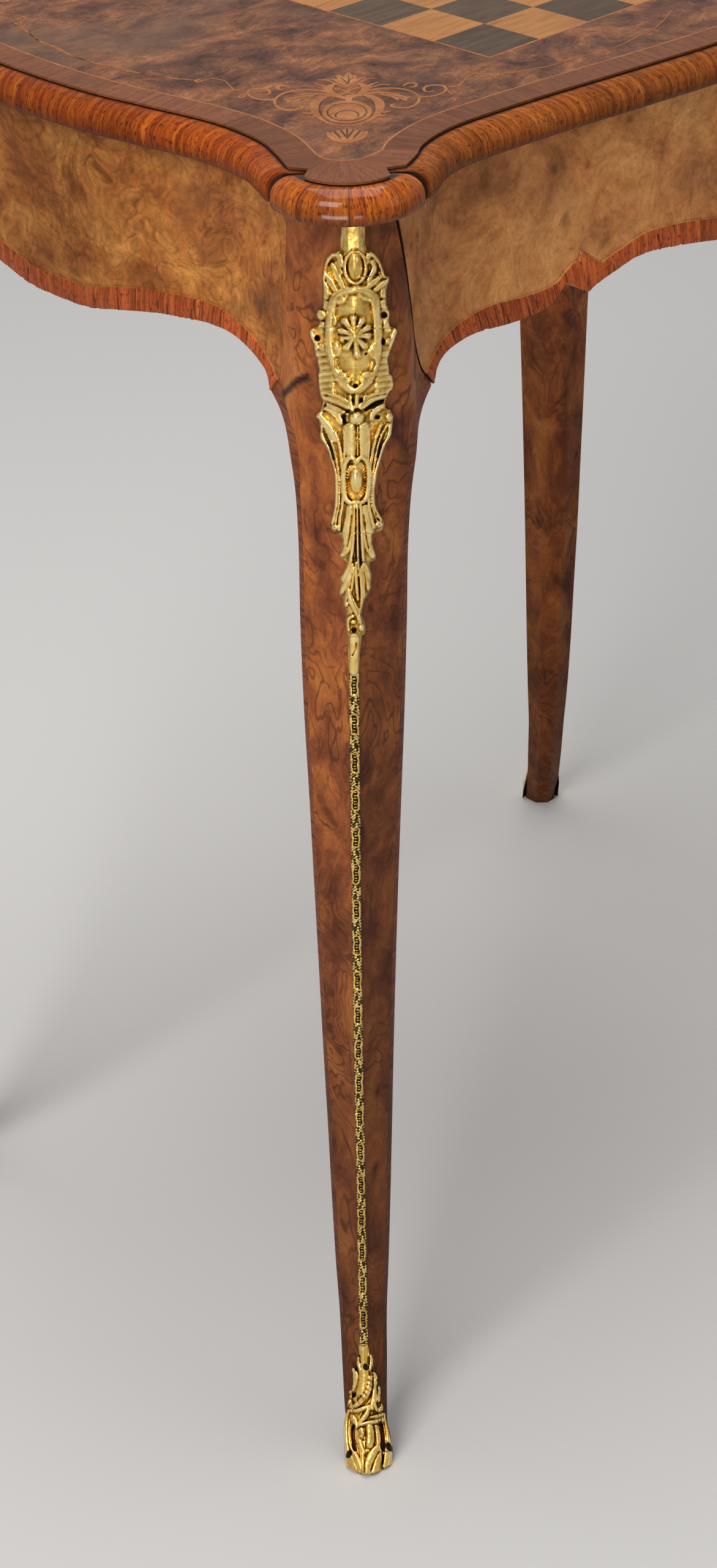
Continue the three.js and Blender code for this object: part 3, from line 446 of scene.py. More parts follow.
quarters = {"back_right": (1, 1), "back_left": (-1, 1), "front_left": (-1, -1),
            "front_right": (1, -1)}
rows, across = leg_rings.shape[:2]
leg_faces = capped(rows, across)
spot = np.arange(across)
first = face_columns - 1
in_strip = (((spot >= first) & (spot < edge_column))
            | ((spot >= across - edge_column) & (spot < across - first)))
leg_choice = np.concatenate([np.tile(in_strip, rows - 1), [False, False]]).astype(int)
leg_laid = unrolled(walk(leg_rings[:, edge_column]), walk(leg_rings))
# painted shade: darker towards the foot and on the faces to the front and back, and inside the
# joints
leg_painted_shade = np.repeat(.66 * (1 - ease(leg_heights, 0, 540))[:, None], across, 1)
leg_painted_shade[:, :face_columns] = (
    .14 + .46 * (1 - ease(leg_heights, 0, 560))
    + .2 * ease(leg_heights, 160, 300) * (1 - ease(leg_heights, 420, 580)))[:, None]
for past, dark in ((1, .95), (2, .95), (3, .3)):
    for column in (edge_column + past, across - edge_column - past):
        leg_painted_shade[:, column] = np.maximum(leg_painted_shade[:, column], dark * ease(leg_heights, 606, 622))
# a split in the left face of the nearest leg, stopped with dark filler
split = through([[-144.5, 620.2], [-150.9, 625.7], [-158.0, 631.9], [-165.7, 636.8]], 40)
on_face = (leg_rings[..., 0] > half_length - 22) & (spot >= fx.shape[1])
from_split = np.linalg.norm(leg_rings[:, :, None, 1:] * [-1, 1] - split, axis=3).min(2)
filled = np.where(on_face, np.clip(1.5 - from_split / 1.6, 0, .95), 0)
for corner, (sx, sy) in quarters.items():
    leg = lay(f"leg_{corner}_piece", leg_rings * [sx, sy, 1], turned(leg_faces, sx * sy < 0),
              [leg_walnut, leg_strips], leg_choice, leg_laid,
              hollow=np.maximum(leg_painted_shade, filled) if corner == "front_left" else leg_painted_shade)
    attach(leg, "carcass")
    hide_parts(f"leg_{corner}")

# Aprons
# Wavy oak slabs faced with burr walnut, tenoned into the legs at the two ends and the back.
# A tulipwood band follows each lower edge and stands a little proud of the burr.
apron_walnut = figured_walnut("burr_walnut_frieze", ["#683a1a", "#925628", "#a86b32", "#bd8444"],
                              .032, (1.0, 1.0, 1.0), .05, .8, burr=1.1, veins=.34)
drawer_walnut = figured_walnut("burr_walnut_drawer", ["#794b2b", "#a96d3e", "#b97f49", "#cd935a"],
                               .034, (1.0, 1.0, 1.0), .05, .8, burr=.65, veins=.12)
# half of each lower edge from the middle to the leg, as shares of its reach and of its drop
front_shape = [
    [0, .917], [.09, .9], [.18, .853], [.296, .812], [.394, .799], [.452, .826], [.488, .843],
    [.531, .876], [.582, .803], [.626, .868], [.674, .89], [.74, .889], [.829, .874], [.901, .89],
    [.957, .93], [1, 1]]
end_shape = [
    [0, .916], [.15, .911], [.28, .878], [.447, .843], [.636, .828], [.735, .833], [.818, .862],
    [.909, .909], [.962, .953], [1, 1]]


def lower_edge(shape, reach, drop, cusps):
    """Smooth lower edge of an apron as [along, height], run separately between its cusps."""
    whole = np.array(shape) * [reach, -drop] + [0, table_height]
    runs, start = [], 0
    for cusp in [*cusps, len(whole) - 1]:
        run = whole[start:cusp + 1]
        if start == 0:
            run = np.concatenate([run[:0:-1] * [-1, 1], run])
            line = through(run, 24 * (len(run) - 1))
            line = line[line[:, 0] >= -1e-6]
        else:
            line = through(run, 12 * (len(run) - 1))
        runs.append(line if start == 0 else line[1:])
        start = cusp
    right = np.concatenate(runs)
    return np.concatenate([right[:0:-1] * [-1, 1], right])


# distances from the lower edge of the apron's first rows, and how proud of the face each stands
band_distances = np.array([0, .6, 2, 4, 6, 8, 9.5, 10.2, 10.6, 11.2, 12.2])
band_proud = [-.5, .35, .6, .7, .7, .7, .65, .35, -.35, -.1, 0]
band_rows, burr_rows = 7, 22


def over_notch(a, z, away, edge, at):
    """Distance from the lower edge over its sharp notch, which is the edge's point number at. Up to
    the notch it is measured square to the edge that comes from the middle, so that the band goes
    straight on. Past it the distance is taken as greater, so that the next band starts narrow."""
    notch, come = edge[at], edge[at] - edge[at - 3]
    come = come / np.linalg.norm(come)
    slack, reach, added, fade = .8, 16, 3.2, 4
    by_a, by_z = np.abs(a) - notch[0], z - notch[1]
    over = (by_a * come[0] + by_z * come[1] > 0) & (by_z > 0) & (np.abs(by_a) < reach)
    away = np.where(over & (by_a <= slack), come[0] * by_z - come[1] * by_a, away)
    return np.where((by_a > slack) & (by_a < reach), away + added * np.exp(-by_a / fade), away)


def apron_grids(shape, reach, drop, seam, gap, top, face, inner, cusps):
    """Front and back of an apron as grids of [along, out, height], with each point's place in the
    veneer. Columns fan out to the slanted seams. Rows first keep to set distances from the lower
    edge, for the band, and then share out the rest of the height."""
    edge = lower_edge(shape, reach - gap, drop, cusps)
    edge_z = edge[:, 1][:, None]

    def spread(z):
        """Places along the apron at height z: each column's share of the way to the joint."""
        limit = joint_line(z, reach, drop, seam, reach) - gap
        return (edge[:, 0] / (reach - gap))[:, None] * limit

    climb = np.linspace(0, 34, 90)
    z = edge_z + climb[None, :]
    a = spread(z)
    away = np.sqrt((a[..., None] - edge[::2, 0]) ** 2 + (z[..., None] - edge[::2, 1]) ** 2).min(2)
    if cusps:
        notch = np.array(shape[cusps[-1]]) * [reach - gap, -drop] + [0, table_height]
        away = over_notch(a, z, away, edge, int(np.argmin(np.hypot(*(edge - notch).T))))
    away = np.maximum.accumulate(away, 1)
    index = np.clip((away[:, :, None] < band_distances).sum(1), 1, len(climb) - 1)
    low, high = np.take_along_axis(away, index - 1, 1), np.take_along_axis(away, index, 1)
    share = np.clip((band_distances - low) / np.maximum(high - low, 1e-6), 0, 1)
    rise = climb[index - 1] + share * (climb[1] - climb[0])
    rise[:, 0] = 0
    near = edge_z + rise
    rest = near[:, -1:] + (top - near[:, -1:]) * np.linspace(0, 1, burr_rows)[None, 1:]
    z = np.concatenate([near, rest], 1)
    a = spread(z)
    proud = np.concatenate([band_proud, np.zeros(burr_rows - 1)])
    return (np.stack([a, face(a) + proud, z], 2), np.stack([a, np.full_like(a, inner), z], 2),
            unrolled(walk(edge), z - edge_z))


def slab_faces(rows, across):
    """Faces of a closed slab made of a front grid, then a back grid, of equal size: the two grids,
    the edges along their first and last columns, and the ends along their first and last rows."""
    front = skin_faces(rows, across, closed=False)
    n = rows * across
    i, j = np.arange(rows - 1) * across, np.arange(across - 1)

    def wall(a, b):
        return np.stack([a, b, b + n, a + n], 1)

    other_way = [0, 3, 2, 1]
    return np.concatenate([
        front, front[:, ::-1] + n, wall(i, i + across),
        wall(i + across - 1, i + 2 * across - 1)[:, other_way],
        wall(j, j + 1)[:, other_way], wall(j + n - across, j + 1 + n - across)])


def plain_wood(name, colours, along, roughness=.62):
    """Oiled oak or pine. The grain is noise drawn out twelve times along the board, with a broader
    one under it. Marked places are darker, as painted shade."""
    made, tree, shader = finish_of(name, roughness)
    place = put(tree, "TexCoord").outputs["Object"]
    draw = tuple(.08 if i == along else 1.0 for i in range(3))
    drawn = put(tree, "VectorMath", {"operation": "MULTIPLY"}, in0=place, in1=draw)
    grain = put(tree, "TexNoise", Vector=drawn, Scale=240.0, Detail=6.0, Roughness=.65,
                Distortion=.2)
    broad = put(tree, "TexNoise", Vector=drawn, Scale=35.0, Detail=2.0)
    both = put(tree, "Math", {"operation": "MULTIPLY_ADD"}, in0=broad, in1=.5, in2=grain)
    tone = put(tree, "ValToRGB", {"stops": list(zip((.55, .74, .92), colours))}, Fac=both)
    with_shade_and_grime(tree, shader, tone)
    feed(shader, Normal=put(tree, "Bump", Height=grain, Strength=.25, Distance=.0006))
    return made


def apron(name, grids, turn, sign, body, walnut, shade=0):
    """Lays an apron from its grids: turn 0 faces the back or front, turn 1 faces an end. Its outer
    face is walnut over a tulipwood band, its lower edge tulipwood and the rest oak. Shade is how
    much painted shade darkens it towards the middle; the seams beside the drawer are dark with
    painted shade."""
    front, back, laid = grids
    rows, across = front.shape[:2]
    points = np.concatenate([front.reshape(-1, 3), back.reshape(-1, 3)]) * [1, sign, 1]
    faces = turned(slab_faces(rows, across).tolist(), (sign > 0) != (turn == 0))
    outer = (rows - 1) * (across - 1)
    choice = np.full(len(faces), 2)
    choice[:outer] = np.tile(np.arange(across - 1) < band_rows, rows - 1)
    choice[2 * outer:2 * outer + rows - 1] = 1
    # painted shade towards the middle, and in the seams at the ends
    dark = shade * (1 - ease(np.abs(front[..., 0]), 0, 110))
    if turn == 0:
        dark[[0, -1]] = .97
    made = lay(f"{name}_piece", points[:, [turn, 1 - turn, 2]], faces,
               [walnut, tulipwood, oak_behind[turn]], choice, np.concatenate([laid, laid]),
               sharp=50, hollow=np.concatenate([dark, np.zeros_like(dark)]))
    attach(made, body)
    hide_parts(name)


oak_colours = ["#6e4f30", "#93703f", "#ab8a58"]
oak_behind = [plain_wood("oak_behind_front", oak_colours, 0),
              plain_wood("oak_behind_ends", oak_colours, 1)]
end_gap, front_cusps = .12, [7, 8]
end_grids = apron_grids(end_shape, end_reach, end_drop, end_seam, end_gap, shoulder,
                        end_face, end_inner, [])
back_grids = apron_grids(front_shape, front_reach, front_drop, front_seam, glue_gap, shoulder,
                         front_face, front_inner, front_cusps)
apron("apron_right", end_grids, 1, 1, "carcass", apron_walnut, .4)
apron("apron_left", end_grids, 1, -1, "carcass", apron_walnut, .4)
apron("apron_back", back_grids, 0, 1, "carcass", apron_walnut)

# Rails, runners, guides and kickers
# Plain quarter-sawn oak inside the carcass: two rails across the front, tenoned into the legs, and
# the drawer's track of a runner, a guide and a kicker on each side.


def wear(nodes, made):
    """Gives carried-over parts of the model their finish."""
    for name in nodes:
        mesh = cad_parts[name].data
        mesh.materials.clear()
        mesh.materials.append(made)


wear(["rail_top_front", "rail_drawer_bearer"], plain_wood("oak_rails", oak_colours, 0))
track = [f"drawer_{part}_{hand}" for part in ("runner", "guide", "kicker")
         for hand in ("right", "left")]
wear(track, plain_wood("oak_runners", oak_colours, 1))

# Drawer
# An oak box behind a wavy walnut front that runs up to the slanted seams. It has no handle
# in view: the front is gripped by its lower edge.
running_gap = 1
front_grids = apron_grids(front_shape, front_reach, front_drop, front_seam, running_gap,
                          shoulder + glue_gap - running_gap, front_face, front_inner, front_cusps)
apron("drawer_front", front_grids, 0, -1, "drawer", drawer_walnut)
new_oak = ["#86673f", "#a98654", "#c0a070"]
wear(["drawer_side_right", "drawer_side_left", "drawer_bottom"],
     plain_wood("oak_drawer_sides", new_oak, 1))
wear(["drawer_back"], plain_wood("oak_drawer_back", new_oak, 0))

# Ground of the top and its screws
# A pine panel that carries the veneers, held down by four steel screws through the kickers.
wear(["top_ground"], plain_wood("pine_ground", ["#7d5c37", "#a27c4d", "#b8925f"], 0, .7))
steel, tree, shader = finish_of("screw_steel", .45, 0, 1)
place = put(tree, "TexCoord").outputs["Object"]
dulled = put(tree, "TexNoise", Vector=place, Scale=700.0, Detail=4.0)
tone = put(tree, "ValToRGB", {"stops": [(.35, "#4c4743"), (.7, "#8d8a86")]}, Fac=dulled)
feed(shader, Base_Color=tone)
wear([f"top_screw_{i}" for i in (1, 2, 3, 4)], steel)

# Edge moulding
# Cross-grained walnut in eight lengths, worked to a full round over a flat and glued round the
# top. The lengths meet at the necks in sharp mitres that stand slightly open.
proud, step_down, seat = 9.6, 1.3, 6
section = np.array([
    [.05, 0], [.22, .022], [.42, .07], [.6, .145], [.75, .235], [.86, .33], [.94, .45], [.98, .58],
    [1, .72], [.995, .82], [.95, .92], [.86, .98], [.72, 1]])
neck_end = np.array([corner_line[0, 0] - 7.5, corner_line[0, 1] - 4.4])
neck_front = np.array([corner_line[-1, 0] - 4.4, corner_line[-1, 1] - 7.5])
joint_end, joint_front = neck_end + [0, 3], neck_front + [3, 0]
# as [out, down]: the seat, then the round through its points, then the flat
profile = np.concatenate([
    [[-seat, moulding_depth], [-seat, step_down]],
    through(section, 36) * [proud, moulding_depth - step_down] + [0, step_down]])
mitre_gap, mitre_gape = .15, 4  # half its gap in mm, and how far it opens outward in degrees


def mitred(path, normal, cuts):
    """A run of moulding: each line of its section follows the outline at its own distance, and is
    cut where it crosses the mitre at each end. A mitre is a point, a direction and a side."""
    lines = []
    for out, down in profile:
        line = path + normal * out
        low, high = 0, len(line) - 1
        for end, (neck, lean, side_of) in enumerate(cuts):
            closed = math.radians(lean)
            opening = math.radians(lean + side_of * mitre_gape)
            start = neck + mitre_gap * np.array([math.cos(closed + side_of * math.pi / 2),
                                                math.sin(closed + side_of * math.pi / 2)])
            away = line - start
            outside = away @ [math.cos(closed), math.sin(closed)] > 0
            turn = np.where(outside, opening, closed)
            cross = (np.cos(turn) * away[:, 1] - np.sin(turn) * away[:, 0]) * side_of
            inside = np.nonzero(cross > 0)[0]
            if end == 0 and len(inside) and inside[0] > 0:
                i = inside[0]
                low = i - cross[i] / (cross[i] - cross[i - 1])
            elif end == 1 and len(inside) and inside[-1] < len(line) - 1:
                i = inside[-1]
                high = i + cross[i] / (cross[i] - cross[i + 1])
        ends = np.array([0, .3, .8, 1.5, 2.3, 3.2, 4.4, 6]) / walk(line)[-1]
        share = np.unique(np.concatenate([ends, np.linspace(0, 1, 161), 1 - ends]))
        at = low + (high - low) * share
        spot = np.arange(len(line))
        x, y = np.interp(at, spot, line[:, 0]), np.interp(at, spot, line[:, 1])
        gone = walk(np.stack([x, y], 1))
        near = np.clip(1 - np.minimum(gone, gone[-1] - gone) / 5, 0, 1) ** 2
        back = 2.4 * near * max(out, 0) / proud
        x = x - back * np.interp(at, spot, normal[:, 0])
        y = y - back * np.interp(at, spot, normal[:, 1])
        sunk = table_height - down - near * (.9 if down < moulding_depth - 1 and out > 0 else 0)
        lines.append(np.stack([x, y, sunk], 1))
    return np.stack(lines, 1)[:, ::-1]


moulding_walnut = cross_banding("cross_walnut_moulding",
                                ["#3c1206", "#76300c", "#8f4410", "#a65c18"],
                                .0026, .118, .1, .36, lines=.25)
long_walnut = cross_banding("cross_walnut_long", ["#401a09", "#7a3d12", "#944f1b", "#aa682c"],
                            .0024, .118, .1, .36, lines=.3)
corner_walnut = cross_banding("cross_walnut_corners", ["#3c1406", "#863c0c", "#a05212", "#b46c1e"],
                              .0024, .0225, .3, .17, joint=.75, lines=.1)


def lay_run(node, rings, flip, walnut):
    """Lays one length of moulding, darkened towards its ends with dirt and painted shade, and with
    painted shade at the necks, along its lower edge and in the step under the top.
    """
    walked = walk(rings[:, rings.shape[1] // 2])
    from_end = np.minimum(walked, walked[-1] - walked)[:, None]
    # dirt and painted shade towards the ends, painted shade at the necks, along the lower roll and
    # in the step
    dark = np.clip(1 - from_end / 4.5, 0, 1) ** 2 * .9
    for neck in (neck_end, neck_front):
        dark = np.maximum(dark, 1.3 - np.linalg.norm(np.abs(rings[..., :2]) - neck, axis=-1) / 7.5)
    low = np.clip((table_height - 8 - rings[..., 2]) / 8, 0, 1)
    in_step = (rings[..., 2] - table_height + step_down + .22) / .2
    dark = np.clip(np.maximum(np.maximum(dark, low * .7), in_step * .9), 0, 1)
    made = lay(f"{node}_piece", rings, turned(capped(*rings.shape[:2]), flip), [walnut],
               laid=unrolled(walked, walk(rings)), sharp=38, hollow=dark)
    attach(made, "carcass")
    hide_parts(node)


n_end, n_corner, n_front = len(end_line), len(corner_line) - 2, len(front_line)
lap = 26


def outline_part(first, count):
    """Points of the outline, counted round it from first, and the way out at each."""
    i = np.arange(first, first + count) % len(outline)
    return outline[i], outward[i]


lean_end, lean_front, half_turn = -55, 145, [-1, -1, 1]
end_run = mitred(*outline_part(-6, n_end + 12),
                 [(joint_end * [1, -1], -lean_end, 1), (joint_end, lean_end, -1)])
front_run = mitred(*outline_part(n_end + n_corner - 6, n_front + 12),
                   [(joint_front, lean_front, 1), (joint_front * [-1, 1], 180 - lean_front, -1)])
corner_run = mitred(*outline_part(n_end - lap, n_corner + 2 * lap),
                    [(joint_end, lean_end, 1), (joint_front, lean_front, -1)])
lay_run("moulding_right", end_run, True, moulding_walnut)
lay_run("moulding_left", end_run * half_turn, True, moulding_walnut)
lay_run("moulding_back", front_run, True, long_walnut)
lay_run("moulding_front", front_run * half_turn, True, long_walnut)
for corner, (sx, sy) in quarters.items():
    lay_run(f"moulding_corner_{corner}", corner_run * [sx, sy, 1], sx * sy > 0, corner_walnut)

# Crossbanding of the top
# Rosewood-brown banding laid across the edge all round, with a sharp notch at each neck.
border, border_round, border_ease = 15, 13.3, 7
border_centre, notch_angle = corner_centre - [10, 12], 96


def inner_line():
    """Inner edge of the border, one point for each point of the outline: drawn in by the border's
    width along the waves, and round a tighter corner between them, shared out by distance. A corner
    that goes over the end of the outline is put back in order first."""
    drawn = outline - outward * border
    on_end, on_front = side_of_table == 0, side_of_table == 2
    kept = (on_end & (np.abs(drawn[:, 1]) < border_centre[1])
            | on_front & (np.abs(drawn[:, 0]) < border_centre[0] - border_ease))
    turn = np.zeros(len(outline))
    for sx, sy in quarters.values():
        run = np.nonzero(~kept & (np.sign(outline[:, 0]) == sx) & (np.sign(outline[:, 1]) == sy))[0]
        if np.diff(run).max() > 1:
            run = np.roll(run, -np.argmax(np.diff(run) > 1) - 1)
        gone = walk(outline[run])
        turn[run] = math.atan2(sy, sx) + (gone / gone[-1] - .5) * math.pi / 2
    way = np.stack([np.cos(turn), np.sin(turn)], 1)
    rounded = border_centre * np.sign(outline) + border_round * way
    line = np.where(kept[:, None], drawn, rounded)
    for _ in range(16):
        line = line / 2 + (np.roll(line, 1, 0) + np.roll(line, -1, 0)) / 4
    return line


side_of_table = np.tile(np.repeat([0, 1, 2, 1], [n_end, n_corner, n_front, n_corner]), 2)
border_inner = inner_line()


def notched(outer, inner):
    """Outer edge of the banding: where a line across it starts inside a notch, it starts instead
    where it leaves the notch, a wedge with its point at the neck."""
    at = np.zeros(len(outer))
    for sx, sy in quarters.values():
        for neck, facing in ((neck_end, -13.75), (neck_front, 103.75)):
            shares = []
            inside = np.ones(len(outer), bool)
            for side_of in (1, -1):
                turn = math.radians(facing + side_of * notch_angle / 2)
                normal = np.array([math.sin(turn), -math.cos(turn)]) * side_of * [sx, sy]
                o = (outer - neck * [sx, sy]) @ normal
                i = (inner - neck * [sx, sy]) @ normal
                inside &= o > 0
                shares.append(np.where(i < 0, o / np.maximum(o - i, 1e-9), 1))
            at = np.where(inside, np.maximum(at, np.minimum(*shares)), at)
    return outer + (inner - outer) * np.clip(at, 0, .98)[:, None]


band_outer = notched(outline, border_inner)
veneer, trace, columns = 1, .04, 7
share = np.linspace(0, 1, columns)[None, :, None]
band_plan = band_outer[:, None] + (border_inner - band_outer)[:, None] * share
n_plan = len(outline)
level = np.full((n_plan, columns, 1), float(table_height))
band_rings = np.concatenate([np.concatenate([band_plan, level + trace], 2),
                             np.concatenate([band_plan[:, ::-1], level - veneer], 2)], 1)
band_faces = skin_faces(n_plan + 1, 2 * columns) % (n_plan * 2 * columns)
rosewood = cross_banding("rosewood_crossbanding", ["#502d1c", "#653a24", "#714329", "#7c4d31"],
                         .003, .072, .02, .36, lines=.2)
crossbanding = lay("top_crossbanding_piece", band_rings, turned(band_faces.tolist(), True),
                   [rosewood], laid=unrolled(walk(outline), walk(band_rings)), sharp=30)
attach(crossbanding, "carcass")
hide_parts("top_crossbanding")

# Burr field and chessboard
# Burr walnut sheets round a board of sixty-four squares, sycamore and dark-stained.
field_walnut = figured_walnut("burr_walnut_top", ["#36251e", "#593728", "#74482d", "#955d38"],
                              .022, (.85, 1.2, 1.0), .02, .8, .36, burr=1.3)
wear(["top_burr_field"], field_walnut)
square = 33.74
# sycamore and stained squares, each with its own tone and its own place in the grain
board, tree, shader = finish_of("board_squares", .34, .03)
place = put(tree, "TexCoord").outputs["Object"]
cell = put(tree, "VectorMath", {"operation": "SCALE"}, in0=place, Scale=1 / (square * mm))
whole = put(tree, "VectorMath", {"operation": "FLOOR"}, in0=cell)
chance = put(tree, "TexWhiteNoise", {"noise_dimensions": "2D"}, Vector=whole)
checker = put(tree, "TexChecker", Vector=cell, Scale=1.0)
drawn = put(tree, "VectorMath", {"operation": "MULTIPLY_ADD"}, in0=place, in1=(.12, 1.0, 1.0),
            in2=chance.outputs["Color"])
grain = put(tree, "TexNoise", Vector=drawn, Scale=260.0, Detail=5.0, Roughness=.6, Distortion=.4)
pale = put(tree, "ValToRGB", {"stops": [(.3, "#7a4d26"), (.5, "#936133"), (.75, "#9d6c3c")]},
           Fac=grain)
dark = put(tree, "ValToRGB", {"stops": [(.3, "#3a2a1f"), (.55, "#493829"), (.8, "#564132")]},
           Fac=grain)
squares = put(tree, "Mix", {"data_type": "RGBA"}, in0=checker.outputs["Fac"], in6=pale, in7=dark)
shade = put(tree, "MapRange", Value=chance.outputs["Value"], To_Min=.84, To_Max=1.1)
feed(shader, Base_Color=put(tree, "VectorMath", {"operation": "SCALE"}, in0=squares, Scale=shade))
wear(["chessboard"], board)

# Marquetry and stringing of the top
# Boxwood and stained sycamore, sawn to thin ribbons and leaves and let into the burr: scrolls round
# an oval at each corner, a tendril along each side, lines inside the border and round the board.
# a stroke is 1 where it is mirrored in the corner's diagonal too, its half widths, and its line
inlay_strokes = [
    # crown, with its arms and flames
    (0, [.6, 2.2, 2.4, .5], [[204.4, 115.6], [200.4, 111.6], [196.2, 107.5], [192.1, 103]]),
    (1, [.5, 1.5, 1.8, .5], [[204.4, 115], [201.8, 110.1], [199.1, 105.2], [197.7, 102]]),
    (1, [.5, 1.2, 1.2, .3], [[205.2, 115.3], [204.1, 110.6], [202.8, 106.2], [203.2, 104]]),
    (1, [.7, .6, .5, .3], [[205.5, 116.7], [206.8, 112.9], [205.8, 107], [205.7, 102.3],
        [207.7, 98.9]]),
    (1, [1.2, 1.6, .9, .3], [[217.1, 117.4], [213.8, 111.9], [211.9, 107.1], [212.2, 102.7]]),
    (1, [1, .6, .5, .3], [[214, 112.9], [214.4, 108.4], [215.3, 103.8], [218.3, 101.1]]),
    # scrolls, the leaf inside the large one, and a hook
    (1, [1.3, .8, .6, .6, .7, .8, .6, .4], [[215.5, 115.8], [217.1, 111.1], [219.7, 106.5],
        [224.1, 102.9], [229.5, 101.6], [235.5, 103], [240.6, 106.6], [244.2, 112.4],
        [244.5, 117.6], [242, 120.4], [238.8, 121.2], [237, 120.2], [237.1, 118.1]]),
    (1, [1.2, .8, .6, .3], [[217.5, 118.7], [219.9, 114.8], [222.8, 111], [226.3, 108.7],
        [229.9, 107]]),
    (1, [.4, 1.5, 2.1, 1.6, .5], [[223.5, 113.6], [226.6, 111.8], [230.5, 110.3], [234.2, 109.6],
        [236.2, 107.3]]),
    (1, [1, 1.3, .3], [[231.8, 109.9], [235.1, 110.7], [238.2, 111.8]]),
    (1, [1, 1.2, .3], [[229.2, 111.2], [232.2, 112.3], [234.9, 113.8]]),
    (1, [.9, .6, .6, .7, .7, .5, .4], [[238.4, 104.5], [241, 102.2], [242.7, 98.7], [242.7, 94.2],
        [240.6, 89.7], [236.6, 87.3], [233.5, 88.8], [231.7, 91.7], [232.6, 95.3], [235.7, 97.6],
        [237.6, 96.5], [237.4, 93.9]]),
    (1, [.3, .9, .9, .4], [[223.7, 99], [222.9, 95.2], [224.8, 93.1], [227.2, 94.4], [228.2, 97.1],
        [226.6, 98]]),
    # stems crossing in the middle, and the leafy frame of the oval
    (1, [.5, 1.9, 2.2, 1.7, .8], [[206, 109.1], [210.2, 110.2], [214.9, 114.7], [217.1, 120.9],
        [216.9, 128]]),
    (1, [.8, .6, .7, .5], [[211.2, 112], [210.4, 116.9], [211.2, 122.4], [211.2, 127.5],
        [208.9, 130.1]]),
    (1, [.8, 2.2, 2.4, 1.6, .9, .6, .5], [[218, 119.2], [222.2, 118.5], [227.6, 119.8],
        [233.3, 123.5], [237.8, 128.5], [242, 135.6], [243.9, 142.5], [243.1, 147.8],
        [240.9, 151.8]]),
    (1, [1.6, 1.2, .3], [[236, 127.2], [240.8, 128.9], [242, 125.4]]),
    (1, [1.4, .9, .3], [[240.4, 132.2], [243.4, 132.6], [243.7, 130.1]]),
    (0, [1.2, 1.6, .6], [[213.4, 124.5], [216.9, 128], [220.7, 131.8]]),
    # shell below the oval
    (1, [.4, 1.1, 1.3, 1.4], [[252.1, 150.5], [255.5, 155.7], [256.6, 161.3], [255.2, 166.1]]),
    (1, [.4, 1.3, .9], [[256.3, 162.7], [253.2, 156.7], [251.2, 152.1]]),
    (1, [.4, 1.4, 1.1], [[255.8, 164.3], [251.2, 157.6], [247.9, 152.6]]),
    (1, [.4, 1.5, 1.2], [[255.3, 165.4], [249.1, 158.6], [244.9, 153.8]]),
    # tendril along the side
    (1, [.4, .3, .3, .35, .28, .28, .28, .2], [[239.5, 86.9], [241.5, 82.8], [238.9, 76.5],
        [236, 69.9], [237.7, 64.3], [241.8, 62.8], [246.7, 55.4], [248.5, 52.1], [251.1, 44.2],
        [253.8, 36.2], [254.9, 21], [258, 6.8], [258.2, -8.6], [256, -21.9], [255.6, -29.4],
        [251, -44.4], [243.9, -59.7]]),
    (1, [.3, .5, .3], [[241.8, 62.8], [244.9, 62.9], [244.4, 60.2], [242.2, 60.8]]),
    (1, [.3, .5, .5, .3], [[242, 90.4], [246, 92.4], [246.5, 90.6], [244, 89.6]])]
shading_strokes = [
    (0, [.1, .3, .1], [[203, 114.2], [198.6, 109.8], [194.6, 105.7]]),
    (1, [.1, .22, .1], [[203.4, 113.6], [200.9, 109.4], [199, 104.9]]),
    (1, [.1, .25, .1], [[219, 119.9], [224.6, 120.6], [231, 124.4], [236.4, 129.6]]),
    (1, [.1, .22, .1], [[225.6, 112.6], [230.2, 111], [234.6, 109.9]]),
    (1, [.1, .25, .1], [[208.6, 111.1], [212.8, 114.6], [215.2, 120.6]]),
    (1, [.35, .5, .1], [[250.2, 152.4], [252.2, 157], [254.6, 161]]),
    (1, [.35, .5, .1], [[247, 153], [249.6, 157.8], [252.6, 162.4]]),
    (0, [.35, .5, .1], [[243.8, 153.8], [247.6, 157.6], [252, 162]])]


def ribbon(line, wide, high, closed=False):
    """Points and faces of a thin closed strip let into the top: it follows a line on the plan, its
    half width runs through wide, and it stands a trace proud of the burr."""
    p = np.asarray(line, float) if closed else through(line, 8 * (len(line) - 1))
    d = np.roll(p, -1, 0) - np.roll(p, 1, 0) if closed else np.gradient(p, axis=0)
    left = np.stack([-d[:, 1], d[:, 0]], 1) / np.linalg.norm(d, axis=1)[:, None]
    left = left * np.interp(np.linspace(0, 1, len(p)), np.linspace(0, 1, len(wide)), wide)[:, None]
    ring = np.stack([p + left, p - left, p - left, p + left], 1)
    z = np.broadcast_to(table_height + np.array([high, high, -.3, -.3]), ring.shape[:2])
    faces = (skin_faces(len(p) + 1, 4) % (len(p) * 4)).tolist() if closed else \
        skin_faces(len(p), 4).tolist() + [[3, 2, 1, 0], [4 * len(p) - 4 + i for i in range(4)]]
    return np.concatenate([ring, z[..., None]], 2).reshape(-1, 3), faces


def let_in(name, strips, wood):
    """Joins strips into one piece of the carcass."""
    points, faces = [], []
    for p, f in strips:
        base = sum(len(q) for q in points)
        faces += [[base + i for i in corner] for corner in f]
        points.append(p)
    made = lay(name, np.concatenate(points), faces, [wood], sharp=30)
    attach(made, "carcass")


